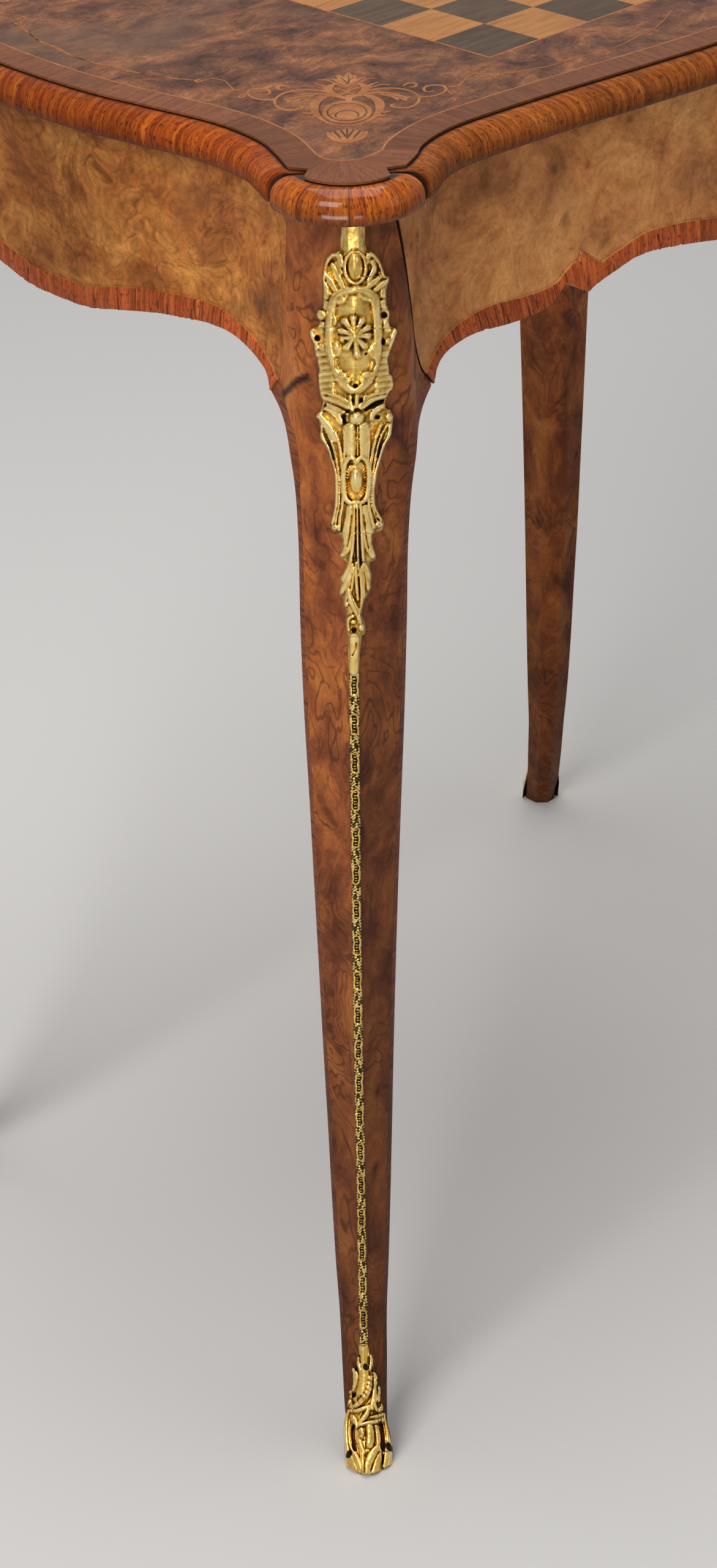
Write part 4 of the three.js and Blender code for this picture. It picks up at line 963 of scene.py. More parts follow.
# boxwood, scorched a little; and the same wood stained dark for the shading
boxwood = figured_walnut("boxwood_inlay", ["#7a4a2c", "#8b5835", "#935f39", "#a26d43"],
                         .009, (1.0, 1.0, 1.0), 0, .3, .42)
dark_inlay = figured_walnut("stained_inlay", ["#35241b", "#453022", "#4c3426", "#55392a"],
                            .009, (1.0, 1.0, 1.0), 0, .3, .42)
oval_centre, oval_out = np.array([229.1, 139.1]), np.array([1, 1]) / math.sqrt(2)
oval_side, diagonal = np.array([-oval_out[0], oval_out[1]]), [90, -90]
around = np.linspace(0, 2 * math.pi, 73)[:-1, None]
half_round = np.linspace(0, math.pi, 15)
for corner, (sx, sy) in quarters.items():
    light, shaded = [], []
    for strokes, strips, start in ((inlay_strokes, light, .06), (shading_strokes, shaded, .16)):
        for twice, wide, line in strokes:
            line = np.array(line, float)
            for drawn in [line, line[:, ::-1] + diagonal][:1 + twice]:
                strips.append(ribbon(drawn * [sx, sy], wide, start + .002 * len(strips)))
    # rings of the oval, each as half its width, half its length, its half width of line and shift
    for across, deep, wide, shift, strips in (
            (9.9, 13.4, .75, 0, light), (8.3, 11.2, .3, 0, shaded), (7.2, 9.7, .5, 0, light),
            (4.9, 6, .35, 4, shaded)):
        centre = oval_centre + oval_out * shift
        loop = centre + across * np.cos(around) * oval_side + deep * np.sin(around) * oval_out
        strips.append(ribbon(loop * [sx, sy], [wide], .06 + .002 * len(strips), closed=True))
    line = oval_centre - 9.6 * np.cos(half_round)[:, None] * oval_side
    light.append(ribbon(line * [sx, sy], np.maximum(13 * np.sin(half_round), .05), .05))
    let_in(f"marquetry_{corner}_piece", light, boxwood)
    let_in(f"marquetry_shading_{corner}_piece", shaded, dark_inlay)
half_board = 4 * square + .5
board_corners = np.array([[-1, -1], [1, -1], [1, 1], [-1, 1], [-1, -1]]) * half_board
board_lines = [ribbon(np.linspace(a, b, 4), [.5], .05 + .002 * i)
               for i, (a, b) in enumerate(zip(board_corners, board_corners[1:]))]
let_in("stringing_piece", [ribbon(border_inner, [.45], .07, closed=True), *board_lines], boxwood)

# Corner mounts
# Cast, chased and gilded bronze, one bent over each leg under the moulding and pinned to it.
# Stem and cabochon, a shield with a rosette, fluted sides, straps round an oval, a tail of leaves.
# the backs of the castings, against the leg, are painted darker
mount_top, back_gap, thinnest, back_darkness, floor_gap = 716.5, .42, .6, .6, .5
# The left and right outlines are [down, u], with u across the leg's edge. A mark is its kind, its
# half widths along its line, its height or depth, and its line as [u, down].
mount_left = np.array([
    [.5, -5.3], [6.2, -5.3], [8.8, -5.7], [13.5, -5.9], [14, -6.1], [15, -10], [16.6, -11.7],
    [18.8, -12.5], [21, -13], [25, -13.7], [37.2, -13.6], [38.5, -13.8], [39, -15.3], [39.8, -16.2],
    [41.2, -16.5], [43, -16.4], [44.6, -15], [46.2, -15.7], [47.2, -16.2], [47.6, -18],
    [48.2, -19.3], [49.3, -19.6], [51.2, -19.4], [53, -18.8], [55.4, -17.6], [57.9, -17.6],
    [60.8, -17.1], [61.5, -16.3], [64.7, -16], [67.2, -15.4], [70.1, -16], [76, -15.6], [80, -14.9],
    [83, -13.7], [87.4, -14.9], [88.9, -16.6], [90.4, -17], [91.9, -15.5], [93.5, -15.4],
    [96.4, -14.7], [99.8, -15.2], [102.1, -14.7], [104.5, -13], [108, -11.3], [111.5, -10.6],
    [115.1, -9.4], [119.2, -8.7], [128.1, -8.5], [137, -8.8], [140.5, -9.4], [144.1, -10.4],
    [148.2, -10.2], [149.7, -9.2], [150.2, -6.8], [151.9, -6.2], [154.3, -4.9], [157.3, -5.6],
    [161.2, -6.5], [163.2, -6.7], [164.2, -4.9], [165.9, -3.1], [168.4, -3.8], [171, -4.8],
    [173.5, -6.7], [176.1, -5.9], [179.4, -6.9], [183.6, -6.6], [184.3, -5.1], [187.9, -4.7],
    [190.6, -4.1], [191.8, -3], [195.8, -3.9], [202.5, -3.5], [205.2, -2.5], [216.6, -2.8],
    [224.6, -2.6], [226.8, -1.6]])
mount_right = np.array([
    [.5, 4.7], [10.8, 4.6], [13.7, 5.2], [15.3, 8.7], [17.5, 10.3], [20.2, 11.4], [22.9, 12.2],
    [25, 12.8], [25.4, 14.5], [26.1, 14.8], [31.4, 13.2], [37.8, 13.3], [41, 14.6], [45.5, 14.3],
    [48, 15.1], [48.7, 17.7], [50.1, 17.9], [53.8, 16.8], [58.6, 15.2], [62.9, 14], [68.3, 14.7],
    [69.8, 14.6], [70.6, 16], [74.8, 16.8], [77.2, 16.6], [78.7, 15], [83.6, 13.3], [86.6, 13.5],
    [87.6, 15.7], [91.2, 17.1], [96.8, 16.5], [100.5, 16.2], [104.5, 14.1], [108, 12.9],
    [110.9, 12.2], [115, 11.3], [118.5, 10.4], [122.6, 10], [127.3, 9.4], [130.9, 9.3],
    [135.7, 9.6], [139.2, 10.6], [144.6, 13.4], [147, 13.7], [149.4, 12.9], [150.6, 10.7],
    [151.2, 8.3], [155.8, 8.3], [159, 9.2], [162.3, 10.2], [164.6, 10.1], [165.8, 8.2], [166.3, 7],
    [172.6, 8.2], [179.7, 8], [181.6, 7.2], [186.2, 5], [191.4, 3.9], [194, 3.6], [198.7, 5.3],
    [202, 5.5], [204.5, 5], [205.5, 3.6], [215.4, 2.8], [224.8, 2.4], [226.8, 1.4]])
mount_marks = [
    # stem, three ribs under a jagged top
    ("bead", [3.8, 3.2, 4], 1.7, [[-.3, .5], [-.3, 7], [-.2, 14]]),
    ("scoop", [2.2], .7, [[-.3, 2], [-.2, 13]]),
    ("cut", [.5], .6, [[-3.6, .8], [-2.4, 2.2], [-.6, 1.2], [1, 2.4], [2.8, 1], [4.2, 2]]),
    # cabochon in its ring
    ("bead", [.75], 2.9, [[4.3 * math.cos(t) + .3, 21.1 + 7 * math.sin(t)]
        for t in np.linspace(0, 6.2832, 25)]),
    ("bead", [3.35, 6.1], 3.3, [[.3, 21.1]]),
    # shell either side of the cabochon
    ("bead", [1.2, 1.5, 1.3, 1], 2.6, [[-5.4, 20], [-6.1, 16.3], [-7.5, 15], [-9.6, 15.4],
        [-11.2, 17.3], [-12.2, 20], [-12.8, 23], [-13.2, 26]]),
    ("bead", [.9, 1.5, 1.2, .8], 2.4, [[5.3, 19], [6, 16], [7.7, 15.6], [9.4, 17.2], [10.7, 20.2],
        [11.6, 22.9], [12.4, 25.3]]),
    ("bead", [.8, 1.3, 1], 2, [[-9.3, 19.4], [-7.7, 23.4], [-5.8, 27.4], [-4.8, 29.6]]),
    ("bead", [.7, 1], 1.5, [[-7.4, 18.8], [-5.8, 23.4]]),
    ("bead", [.7, 1.3, 1], 1.9, [[-12, 23.8], [-10.2, 26.9], [-8, 31]]),
    ("bead", [.7, 1.1, .9], 1.6, [[-12.7, 27.7], [-11.8, 30], [-10.6, 32.2]]),
    ("bead", [1.2, .9], 2.4, [[7.4, 19], [8.2, 21.3], [6.9, 24.6], [5.6, 26.8]]),
    ("bead", [.8, 1.4, 1.1], 2, [[10.5, 25.4], [7.7, 27.7], [5.3, 29.8]]),
    ("bead", [.9, 1.3, 1], 1.9, [[13.7, 27.2], [11.1, 28.9], [8.6, 31]]),
    ("cut", [.6], 1, [[-8.7, 18.2], [-10.6, 19.6], [-12, 22.6]]),
    ("cut", [.6], 1, [[9.2, 19.8], [9.8, 22.5], [8.8, 25]]),
    # scallops down the sides of the shield
    ("over", [1.7], 1.5, [[-12.4, 31.6], [-12.2, 33.6]]),
    ("over", [1.7], 1.6, [[-12.2, 36.4], [-12.3, 38.4]]),
    ("over", [1.9], 1.7, [[-14.8, 41], [-14, 42.5]]),
    ("over", [1.5], 1.4, [[-14.2, 46], [-14, 49]]),
    ("over", [1.5], 1.4, [[12, 31.6], [11.7, 33.6]]),
    ("over", [1.5], 1.5, [[11.8, 36.6], [12.1, 38.8]]),
    ("over", [1.5], 1.5, [[13.2, 46], [13.4, 49]]),
    ("cut", [.5], 1.1, [[-14, 39.2], [-11.5, 40.2]]),
    ("cut", [.5], 1.1, [[-15.6, 44.6], [-11.8, 44.2]]),
    ("cut", [.5], 1, [[13.8, 35], [10.6, 35.4]]), ("cut", [.5], 1, [[14, 40], [10.6, 39.6]]),
    ("cut", [.5], 1, [[-13.4, 34.9], [-11.2, 35.5]]),
    # hammered field of the shield, its frame and its lobes
    ("over", [9.6, 22], 1, [[-.7, 53]]), ("scoop", [9.4, 21.6], .3, [[-.7, 53.5]]),
    ("bead", [1.7], 2.8, [[.2, 30.9], [-4.4, 31.6], [-8, 33.8], [-9.6, 37.6], [-10.1, 41.5],
        [-10.7, 46], [-11, 51.8], [-10.9, 55.1], [-10.2, 60], [-9.1, 65], [-7.1, 69.7], [-5, 73.8],
        [-2.5, 76.6], [.1, 77.4], [2.7, 76.4], [5, 73.6], [7.1, 69.7], [8.5, 65.3], [9.3, 60.2],
        [9.3, 54.1], [9.2, 50.4], [9.1, 45.9], [8.7, 41.7], [8.4, 37.9], [7.9, 34.6], [4.7, 31.8],
        [.2, 30.6]]),
    ("bead", [1.1], 2, [[-8.5, 35], [-5.6, 35.4], [-4.2, 34.2], [-3.6, 32.8]]),
    ("bead", [1.1], 2, [[2, 32.8], [3, 34.2], [5, 35.2], [7.4, 34.8]]),
    ("bead", [2.6, 2.2], 3.4, [[-5.4, 70.4]]), ("bead", [1.8], 3.2, [[-3.3, 72.6]]),
    ("bead", [1.5], 3, [[-7.4, 71.6]]), ("bead", [2.4, 2], 3.2, [[4.8, 70]]),
    ("bead", [1.7], 3.1, [[3.4, 72.6]]), ("bead", [1.5], 3, [[6.9, 71.5]]),
    ("bead", [2.7, 2.2], 3, [[-6, 35.4]]), ("bead", [1.6, 1.5], 2.8, [[6.6, 35.6]]),
    ("bead", [1.7, 2.6], 2.9, [[-8.2, 56.4]]), ("bead", [1.6, 2.4], 2.9, [[8, 57.8]]),
    ("bead", [1.7, 2.8], 2.8, [[-8.9, 44.6]]), ("hole", [1.2, .7], 2.2, [[.2, 75.4]]),
    ("cut", [.7], 1.4, [[7.6, 63], [8, 66], [6.6, 68.4]]),
    ("cut", [.6], 1, [[-8.6, 62], [-8.2, 66], [-6.6, 68.2]]),
    ("cut", [.4], .7, [[-9.3, 41], [-9.8, 52], [-9, 60]]),
    ("bead", [1.2], 2, [[-9, 56.6], [-7.4, 57.4], [-7.6, 60]]),
    ("bead", [1.3], 1.9, [[7.8, 56.4], [6.8, 59], [8, 61.6]]),
    # rosette
    *[("bead", [.5, 1.1, 1.55], 4.3, [[-.4, 51.6], [-.4 + .94 * a, 51.6 + .92 * b]]) for a, b in (
        (-.5, -8.6), (-4.1, -7.5), (-5.6, -2.8), (-4.7, 1.4), (-3.4, 5.8), (1.3, 9.5), (4.2, 5.1),
        (5.7, 0), (5.5, -3.9), (3.2, -7.5))],
    *[("scoop", [.5], .5, [[-.4 + .45 * a, 51.6 + .45 * b], [-.4 + .8 * a, 51.6 + .8 * b]])
        for a, b in ((-.5, -8.6), (-4.1, -7.5), (-5.6, -2.8), (-3.4, 5.8), (1.3, 9.5), (4.2, 5.1),
        (5.7, 0), (5.5, -3.9), (3.2, -7.5))],
    ("hole", [1, .9], 1.4, [[-4.3, 53.6]]), ("hole", [.7, .6], 1, [[-6.9, 50.8]]),
    ("hole", [.8, .8], 1.3, [[4.4, 60]]), ("bead", [2, 2.3], 5, [[-.3, 51.9]]),
    # curls and ears at the widest place
    ("bead", [.9, 1.3, 1], 1.9, [[-18.7, 48.8], [-18.2, 51.4], [-17.3, 54], [-16.4, 57]]),
    ("hole", [1.2, 1.5], 3.2, [[-15.9, 52.4]]), ("over", [1.4], 1.2, [[-14.4, 56.5], [-13.4, 58]]),
    ("bead", [1, 1.4, 1.1], 2, [[17.3, 49], [16.4, 52], [15.4, 57]]),
    ("bead", [1.5, 1.6], 3, [[13.5, 54.5]]), ("hole", [.8, 1.7], 2.4, [[11.6, 54.6]]),
    ("hole", [1.6, 1.8], 3, [[11.9, 42.4]]),
    # fluted sides
    *[("bead", [1.3, 1.4], 1.6, [[-15.6 - lean, v], [-10, v - .8]]) for v, lean in ((60, .4),
        (63.3, .3), (66.4, 0), (69.5, .3), (72.6, .2), (75.6, 0), (78.6, -.4))],
    *[("bead", [1.4, 1.3], 1.6, [[9.9, v + .6], [14.6 + lean, v]]) for v, lean in ((60.4, .1),
        (63.4, -.2), (66.3, 0), (69.2, 0), (72, 1.4), (75, 1.6), (78, .4))],
    *[("row", [.5, .5], .9, [[-15.2, v], [-9.6, v - .8]]) for v in (71.1, 74.2, 77.2)],
    *[("row", [.5, .5], .9, [[9.4, v + .6], [15.4, v]]) for v in (70.7, 73.6, 76.6)],
    # acanthus sweeping in to the middle
    ("bead", [.8, 1.5, 1.3, .9], 2.6, [[-14.4, 80.6], [-8.9, 82.2], [-4.2, 84.6], [-.9, 87]]),
    ("bead", [.6, 1.2, .8], 2.3, [[-11.5, 79], [-6.8, 80.6], [-2.9, 83.4], [-.4, 86]]),
    ("bead", [.7, 1.2, .8], 2.2, [[-13.4, 83.2], [-8.9, 85.6], [-5, 88], [-3.7, 88.7]]),
    ("bead", [.8, 1.4, 1.1], 2.6, [[13.4, 80.7], [8.7, 81.9], [4.9, 84.2], [2.8, 86]]),
    ("bead", [.6, 1.1, .8], 2.2, [[12.3, 79.2], [7.8, 79.8], [4.4, 82.2], [2, 85.6]]),
    ("bead", [.9], 2, [[-2, 80.3], [-1.6, 84.2]]), ("bead", [1], 2.2, [[.8, 80], [.7, 85.3]]),
    ("bead", [.9], 2, [[4.5, 80.4], [3.4, 84.4]]), ("hole", [.55, 1.2], 1.8, [[-.8, 82.2]]),
    ("hole", [.7, 1.2], 1.8, [[2.8, 82.3]]),
    ("hole", [.9], 1.6, [[-2.4, 87.2], [-4.2, 89.4], [-4.6, 91.6], [-3.8, 94], [-2.6, 96.4]]),
    ("hole", [.9, 1.1, .8], 1.9, [[4.6, 87], [7.2, 84.9], [9.4, 83.6], [12.2, 82.9]]),
    ("hole", [1.6, 1.3], 2.2, [[9.8, 91]]), ("hole", [.6, .7], 1.6, [[-12.4, 83.6], [-12.7, 87.2]]),
    ("bead", [1, 1.5, 1], 2.4, [[-12.4, 86.2], [-10, 86.9], [-7.1, 90], [-5.8, 93.4]]),
    ("bead", [.8, 1.4, 1], 2.3, [[13.4, 85], [10.5, 86.2], [8, 88.8], [7.1, 91.6]]),
    ("bead", [3.3, 3.6], 5, [[.9, 91]]), ("bead", [1.9, 2.6], 2.6, [[15.2, 91.2]]),
    ("bead", [1.4, 2], 2.3, [[-15.6, 90.6]]), ("over", [1.2], 1, [[7.6, 94.4], [7, 96.4]]),
    # straps, each a smooth edge, a line of beads and an inner fillet
    ("bead", [1.1, 1.5, 1.2], 2, [[-15.4, 88.4], [-13.4, 92.4], [-10.2, 97.2], [-8.2, 102]]),
    ("bead", [.9], 2, [[-14.4, 95], [-14.1, 99.6], [-11, 107.6], [-9.2, 115.2], [-8.1, 121],
        [-7.9, 128.1], [-8.1, 135.3], [-8.9, 140.5], [-9.6, 145]]),
    ("row", [.65], 2.2, [[-12.8, 95.3], [-11.4, 98.7], [-9.7, 103.4], [-8.1, 109.8], [-7, 116.3],
        [-6.5, 122.2], [-6.4, 130.5], [-6.8, 137.6], [-7.8, 142.9], [-8.1, 147.7]]),
    ("bead", [.7], 2.2, [[-8.2, 98.2], [-6.4, 104.6], [-5.5, 112.2], [-4.9, 119.3], [-4.7, 128.2],
        [-5.1, 136.5], [-6.1, 143], [-6.4, 148.9]]),
    ("bead", [1.2, 1.1, 1], 2.1, [[15.8, 95.6], [15.3, 100.5], [12.9, 106.3], [11.6, 111.5],
        [10.6, 116.1], [9.5, 122], [8.9, 128.5], [9, 134.5], [10.3, 139.8], [12.1, 143.4]]),
    ("row", [.65], 2.2, [[14.2, 94.8], [12.2, 98.7], [10.6, 103.9], [9.5, 110.2], [8.4, 116.7],
        [7.8, 123.7], [7.7, 130.9], [8, 136.8], [9.2, 141], [10.7, 145.1]]),
    ("bead", [.7], 2.2, [[11.5, 94.7], [9.6, 99.8], [8.2, 106.1], [7.3, 112.5], [6.6, 119.6],
        [6.3, 128.5], [6.6, 136.8], [7.9, 143.3], [8.9, 148.1]]),
    ("cut", [.6], 1.3, [[13, 99], [11.2, 105], [10.2, 111]]),
    ("cut", [.5], 1.1, [[-12.2, 99], [-10, 106], [-8.9, 112]]),
    ("cut", [.6], 1.4, [[9.8, 140], [9.4, 142.4], [10.6, 143.8]]),
    ("bead", [1.9, 1.8], 2.8, [[-8.5, 147.4]]), ("bead", [2.1, 2], 2.9, [[11.3, 146.4]]),
    ("hole", [.5, .5], 1, [[11.4, 146.6]]), ("hole", [.5, .5], 1, [[-8.5, 147.6]]),
    # fluted panel and the oval in its two-part frame
    ("bead", [2.2, 2.3, 1.8], 2.2, [[-2.2, 95.5], [-1.8, 103], [-1.5, 110.4]]),
    ("bead", [2, 2.1, 1.7], 2.2, [[4.1, 95.5], [4.3, 103], [4.2, 110.4]]),
    ("row", [.45], 2.3, [[1.2, 95.6], [1.4, 109.8]]),
    ("bead", [.6], 1.8, [[-4.4, 97.5], [-4.1, 104.7], [-4.4, 112.3]]),
    ("bead", [.6], 1.8, [[5.9, 96.5], [6.3, 103.8], [6, 111.9]]),
    ("sink", [4.6, 11.4], .5, [[.9, 122.8]]),
    *[("bead", [.35], 1, [[.9 + 2.6 * math.cos(t), 122.9 + 7 * math.sin(t)],
        [.9 + 4.6 * math.cos(t), 122.9 + 10.6 * math.sin(t)]])
        for t in np.linspace(0, 6.28, 41)[:-1]],
    ("bead", [1.1], 3.1, [[.6, 113.2], [-.4, 111.4], [-2.3, 111.3], [-4, 114], [-4.6, 119],
        [-4.6, 127], [-3.8, 132], [-1.8, 134.5], [.4, 134.2]]),
    ("bead", [1.1], 3.1, [[1.1, 113.2], [2.2, 111.4], [4, 111.4], [5.8, 114], [6.4, 119],
        [6.3, 127], [5.6, 131.8], [3.6, 134.3], [1.3, 134.2]]),
    ("bead", [2.9, 7.2], 4.4, [[.9, 123]]), ("hole", [1.2, 1], .8, [[-1.4, 114.4]]),
    # leaves of the tail, in tiers
    ("bead", [1.5, 1.9, 1.5], 2.3, [[-1.8, 137], [-2.4, 145], [-3.4, 151.5], [-4, 155]]),
    ("bead", [1.3, 1.9, 1.7], 2.3, [[4.9, 137], [5.6, 144], [6.9, 150.6], [7.6, 154]]),
    ("bead", [1.2, 1.7, 1.6, 1.2], 2, [[-.4, 146], [-1.7, 154], [-3.4, 159.6], [-5.2, 162]]),
    ("bead", [1.2, 1.7, 1.8, 1.4], 2, [[3.6, 146], [5.4, 154], [7.2, 159.4], [8.8, 163]]),
    ("bead", [.8], 2.7, [[.3, 136], [.1, 146], [-.4, 157], [-1.4, 165]]),
    ("bead", [.8], 2.7, [[2.8, 136], [3.3, 146], [3.8, 157], [4.2, 165]]),
    ("bead", [.7], 3.1, [[1.3, 136], [1.5, 146], [1.7, 157], [2.3, 173]]),
    ("cut", [.4], 1.2, [[.8, 138], [1, 158], [1.6, 172]]),
    ("cut", [.4], 1.2, [[2.1, 138], [2.4, 158], [2.8, 170]]),
    ("cut", [.4], 1, [[-1, 141], [-1.9, 152], [-3, 158]]),
    ("cut", [.4], 1, [[4.3, 141], [5.4, 152], [6.6, 159]]),
    ("bead", [.9, 1.6, 1.2], 2.2, [[-1.2, 165], [-3, 170], [-4.9, 175.2]]),
    ("bead", [.9, 1.5, 1.2], 2.3, [[-.6, 167], [-2.6, 174.6], [-5.4, 181.6]]),
    ("bead", [.9, 1.5, 1.1], 2.4, [[.1, 169], [-1.7, 179.5], [-3.6, 188.8]]),
    ("bead", [.9, 1.4, 1.2], 2.2, [[4.6, 167], [6.2, 170.6], [7.2, 174.6]]),
    ("bead", [.9, 1.5, 1.1], 2.3, [[3.8, 168], [5.4, 174.4], [6.9, 180.4]]),
    ("bead", [1, 1.5, 1.1], 2.5, [[2.8, 170], [3.9, 179.6], [4, 186.2], [3, 192.4]]),
    ("bead", [.8], 2.7, [[1.2, 166], [1.2, 176], [1.9, 186]]),
    ("cut", [.4], 1.1, [[2, 170], [2.6, 181], [2.6, 190]]),
    ("cut", [.4], 1, [[-.6, 172], [-1.9, 181], [-3, 187]]),
    ("cut", [.35], .9, [[4.6, 171], [5.4, 177], [5.2, 183]]),
    ("bead", [.7, 1.5, 1.5, 1], 3.5, [[-2.4, 180], [-1.6, 184.7], [.2, 189.3], [2, 193.6],
        [3, 198.2]]),
    ("cut", [.3], .7, [[-1.6, 182.6], [.4, 188.6], [2.2, 194]]),
    # collar with its pin hole, and the rounded tip
    ("bead", [1], 2.6, [[-.4, 194.6], [-2.4, 196], [-3, 199], [-2.5, 202]]),
    ("bead", [1.5, 1.6], 2.7, [[-.2, 197.8]]), ("bead", [1.7, 2.6], 2.7, [[3.7, 201]]),
    ("bead", [1.7, 1.2], 2.5, [[0, 204.8]]), ("hole", [1.25, 1.5], 3.6, [[.1, 202]]),
    ("bead", [2.1, 2, 2.1], 1.8, [[.3, 207], [.3, 216], [-.2, 225]]),
    ("cut", [.45], 1.1, [[1.1, 209.3], [.8, 212.7], [-.7, 216]])]


def nearest(u, down, line, reach):
    """Distance of each place from a line, as far as reach, and how far along the line its nearest
    point is, from 0 to 1. It goes along the line in short parts, and looks only near each."""
    far, along = np.full(u.shape, float(reach)), np.zeros(u.shape)
    for i in range(0, len(line), 24):
        part = line[i:i + 25]
        low, high = part.min(0) - reach, part.max(0) + reach
        near = np.nonzero((u > low[0]) & (u < high[0]) & (down > low[1]) & (down < high[1]))
        if len(near[0]):
            gap = np.hypot(u[near][:, None] - part[:, 0], down[near][:, None] - part[:, 1])
            closer = gap.min(1) < far[near]
            along[near] = np.where(closer, (i + gap.argmin(1)) / max(len(line) - 1, 1), along[near])
            far[near] = np.minimum(far[near], gap.min(1))
    return far, along


def chased(u, down, marks):
    """Relief worked out of marks, and how dark it is painted there, for grime and shade. Within the
    half width of its line a bead stands up as a round, a row is a bead cut into pearls, over swells
    what is there, sink lowers it evenly, a scoop, cut or hole is scooped out: a scoop stays clean,
    a cut is darkened with grime and painted shade and a hole is dark with painted shade. A nail is
    a dark round head. One point alone makes an oval boss."""
    relief, soil_and_shade = np.zeros(u.shape), np.zeros(u.shape)
    for kind, wide, high, points in marks:
        p = np.array(points, float)
        if kind == "bead" and len(p) > 1:  # drawn as it looks between its shadows, a little thin
            wide = [1.18 * w for w in wide]
        if len(p) == 1:
            share = np.hypot((u - p[0, 0]) / wide[0], (down - p[0, 1]) / wide[-1])
            along, length = 0, 1
        else:
            length = np.linalg.norm(np.diff(p, axis=0), axis=1).sum()
            far, along = nearest(u, down, through(p, max(int(length / .3), 4)), max(wide))
            share = far / np.interp(along, np.linspace(0, 1, len(wide)), wide)
        rise = high * np.sqrt(np.clip(1 - share**2, 0, 1))
        if kind == "row":
            rise = rise * (.72 + .28 * np.cos(along * round(length / 1.15) * 2 * math.pi))
        if kind in ("bead", "row", "nail"):
            relief = np.where(share < 1, np.maximum(relief, rise), relief)
            soil_and_shade = np.where((share < .9) & (rise > .6 * high), soil_and_shade * .4, soil_and_shade)
            soil_and_shade = np.where((share < 1.15) & (kind == "nail"), 2, soil_and_shade)
        elif kind == "over":
            relief = relief + rise
        elif kind == "sink":
            relief = relief - high * np.clip((1 - share) * 4, 0, 1)
        else:
            relief = relief - high * np.clip(1 - share**2, 0, 1)
            darkness = {"scoop": 0, "cut": .35, "hole": 1}[kind]
            soil_and_shade = np.maximum(soil_and_shade, np.clip(1.3 - share, 0, 1) * darkness)
    return relief, soil_and_shade


def drawn_lean(high):
    """How much higher than it lies a point is drawn for each millimetre of its depth behind the
    leg's front edge, where it is drawn at height high, because it was drawn from above."""
    return .3875 + (mount_top - high) / 1067


def on_corner(u, down, top, depth):
    """Places a mount's drawing on the leg. The drawing stands across the corner, with u across it
    and down measured from top, and depth is how far a point is behind the leg's front edge."""
    z = np.maximum(top - down - depth * drawn_lean(top - down), floor_gap)
    x, y, _ = leg_line(z)
    return np.stack([x - (u + depth) / math.sqrt(2), y + (u - depth) / math.sqrt(2), z], -1)


def thickness(u, relief, bend, stand, rim, roll):
    """Depth of a casting's outer face: folded round the leg's edge in a curve of radius bend, stand
    and relief proud of the fold, and rolled down to thin over the distance roll from its rim."""
    back = np.abs(u) - back_gap
    raised = np.sqrt(u**2 + bend**2) - bend - stand - relief
    q = np.sqrt(1 - (1 - np.clip(rim / roll, 0, 1)) ** 2)
    return back - thinnest - (np.maximum(back - raised, thinnest) - thinnest) * q


def smoothed(field, times):
    """The field with each value moved towards the mean of its neighbours, some times over."""
    for _ in range(times):
        f = np.pad(field, 1, mode="edge")
        field = field / 2 + (f[:-2, 1:-1] + f[2:, 1:-1] + f[1:-1, :-2] + f[1:-1, 2:]) / 8
    return field


def cavity_shade_and_grime(stand, soil_and_shade):
    """How dark each place is painted: painted shade by how deep it lies, and as its marks say."""
    return np.clip(.1 + (smoothed(stand, 14) - stand) * .32 + soil_and_shade * .42, 0, 1)


# gilding worn bright where it stands up, and dark in the hollows with grime and painted shade
gilt, tree, shader = finish_of("gilt_bronze", .3, 0, 1)
hollow = put(tree, "Attribute", {"attribute_name": "hollow"}).outputs["Fac"]
place = put(tree, "TexCoord").outputs["Object"]
patches = put(tree, "TexNoise", Vector=place, Scale=190.0, Detail=4.0, Roughness=.6)
grime_and_shade = put(tree, "Math", {"operation": "MULTIPLY_ADD"}, in0=patches, in1=.5, in2=hollow)
tone = put(tree, "ValToRGB", {"stops": [
    (.28, "#fde6a2"), (.42, "#ecc873"), (.55, "#c19a4a"), (.7, "#64501f"), (.86, "#241b0b")]},
    Fac=grime_and_shade)
rubbed = put(tree, "MapRange", Value=grime_and_shade, From_Min=.35, From_Max=.9, To_Min=.24, To_Max=.6)
pitted = put(tree, "TexNoise", Vector=place, Scale=900.0, Detail=2.0)
bump = put(tree, "Bump", Height=pitted, Strength=.25, Distance=.0004)
hammered = put(tree, "TexNoise", Vector=place, Scale=330.0, Detail=1.0)
bump = put(tree, "Bump", Height=hammered, Strength=.3, Distance=.0012, Normal=bump)
feed(shader, Base_Color=tone, Roughness=rubbed, Normal=bump)


def cast(name, points, faces, soil_and_shade, materials, choice=None):
    """Lays a casting on each of the four legs, mirrored from one to the next."""
    for corner, (sx, sy) in quarters.items():
        made = lay(f"{name}_{corner}_piece", points * [sx, sy, 1], turned(faces, sx * sy > 0),
                   materials, choice, sharp=60, hollow=soil_and_shade)
        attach(made, "carcass")
        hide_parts(f"{name}_{corner}")


def ringed(u, down, top, depth, soil_and_shade):
    """Closed rings of a casting, outer face from left to right, then its back round the fold, with
    their faces and how dark they are painted, for grime and shade."""
    back_u = np.stack([u[:, -1], np.zeros(len(u)), u[:, 0]], 1)
    ring_u = np.concatenate([u, back_u], 1)
    ring_down = np.concatenate([down, down[:, :3]], 1)
    ring_depth = np.concatenate([depth, np.abs(back_u) - back_gap], 1)
    soil_and_shade = np.concatenate([cavity_shade_and_grime(np.abs(u) - depth, soil_and_shade), np.full(back_u.shape, back_darkness)], 1)
    return on_corner(ring_u, ring_down, top, ring_depth).reshape(-1, 3), capped(*ring_u.shape), soil_and_shade


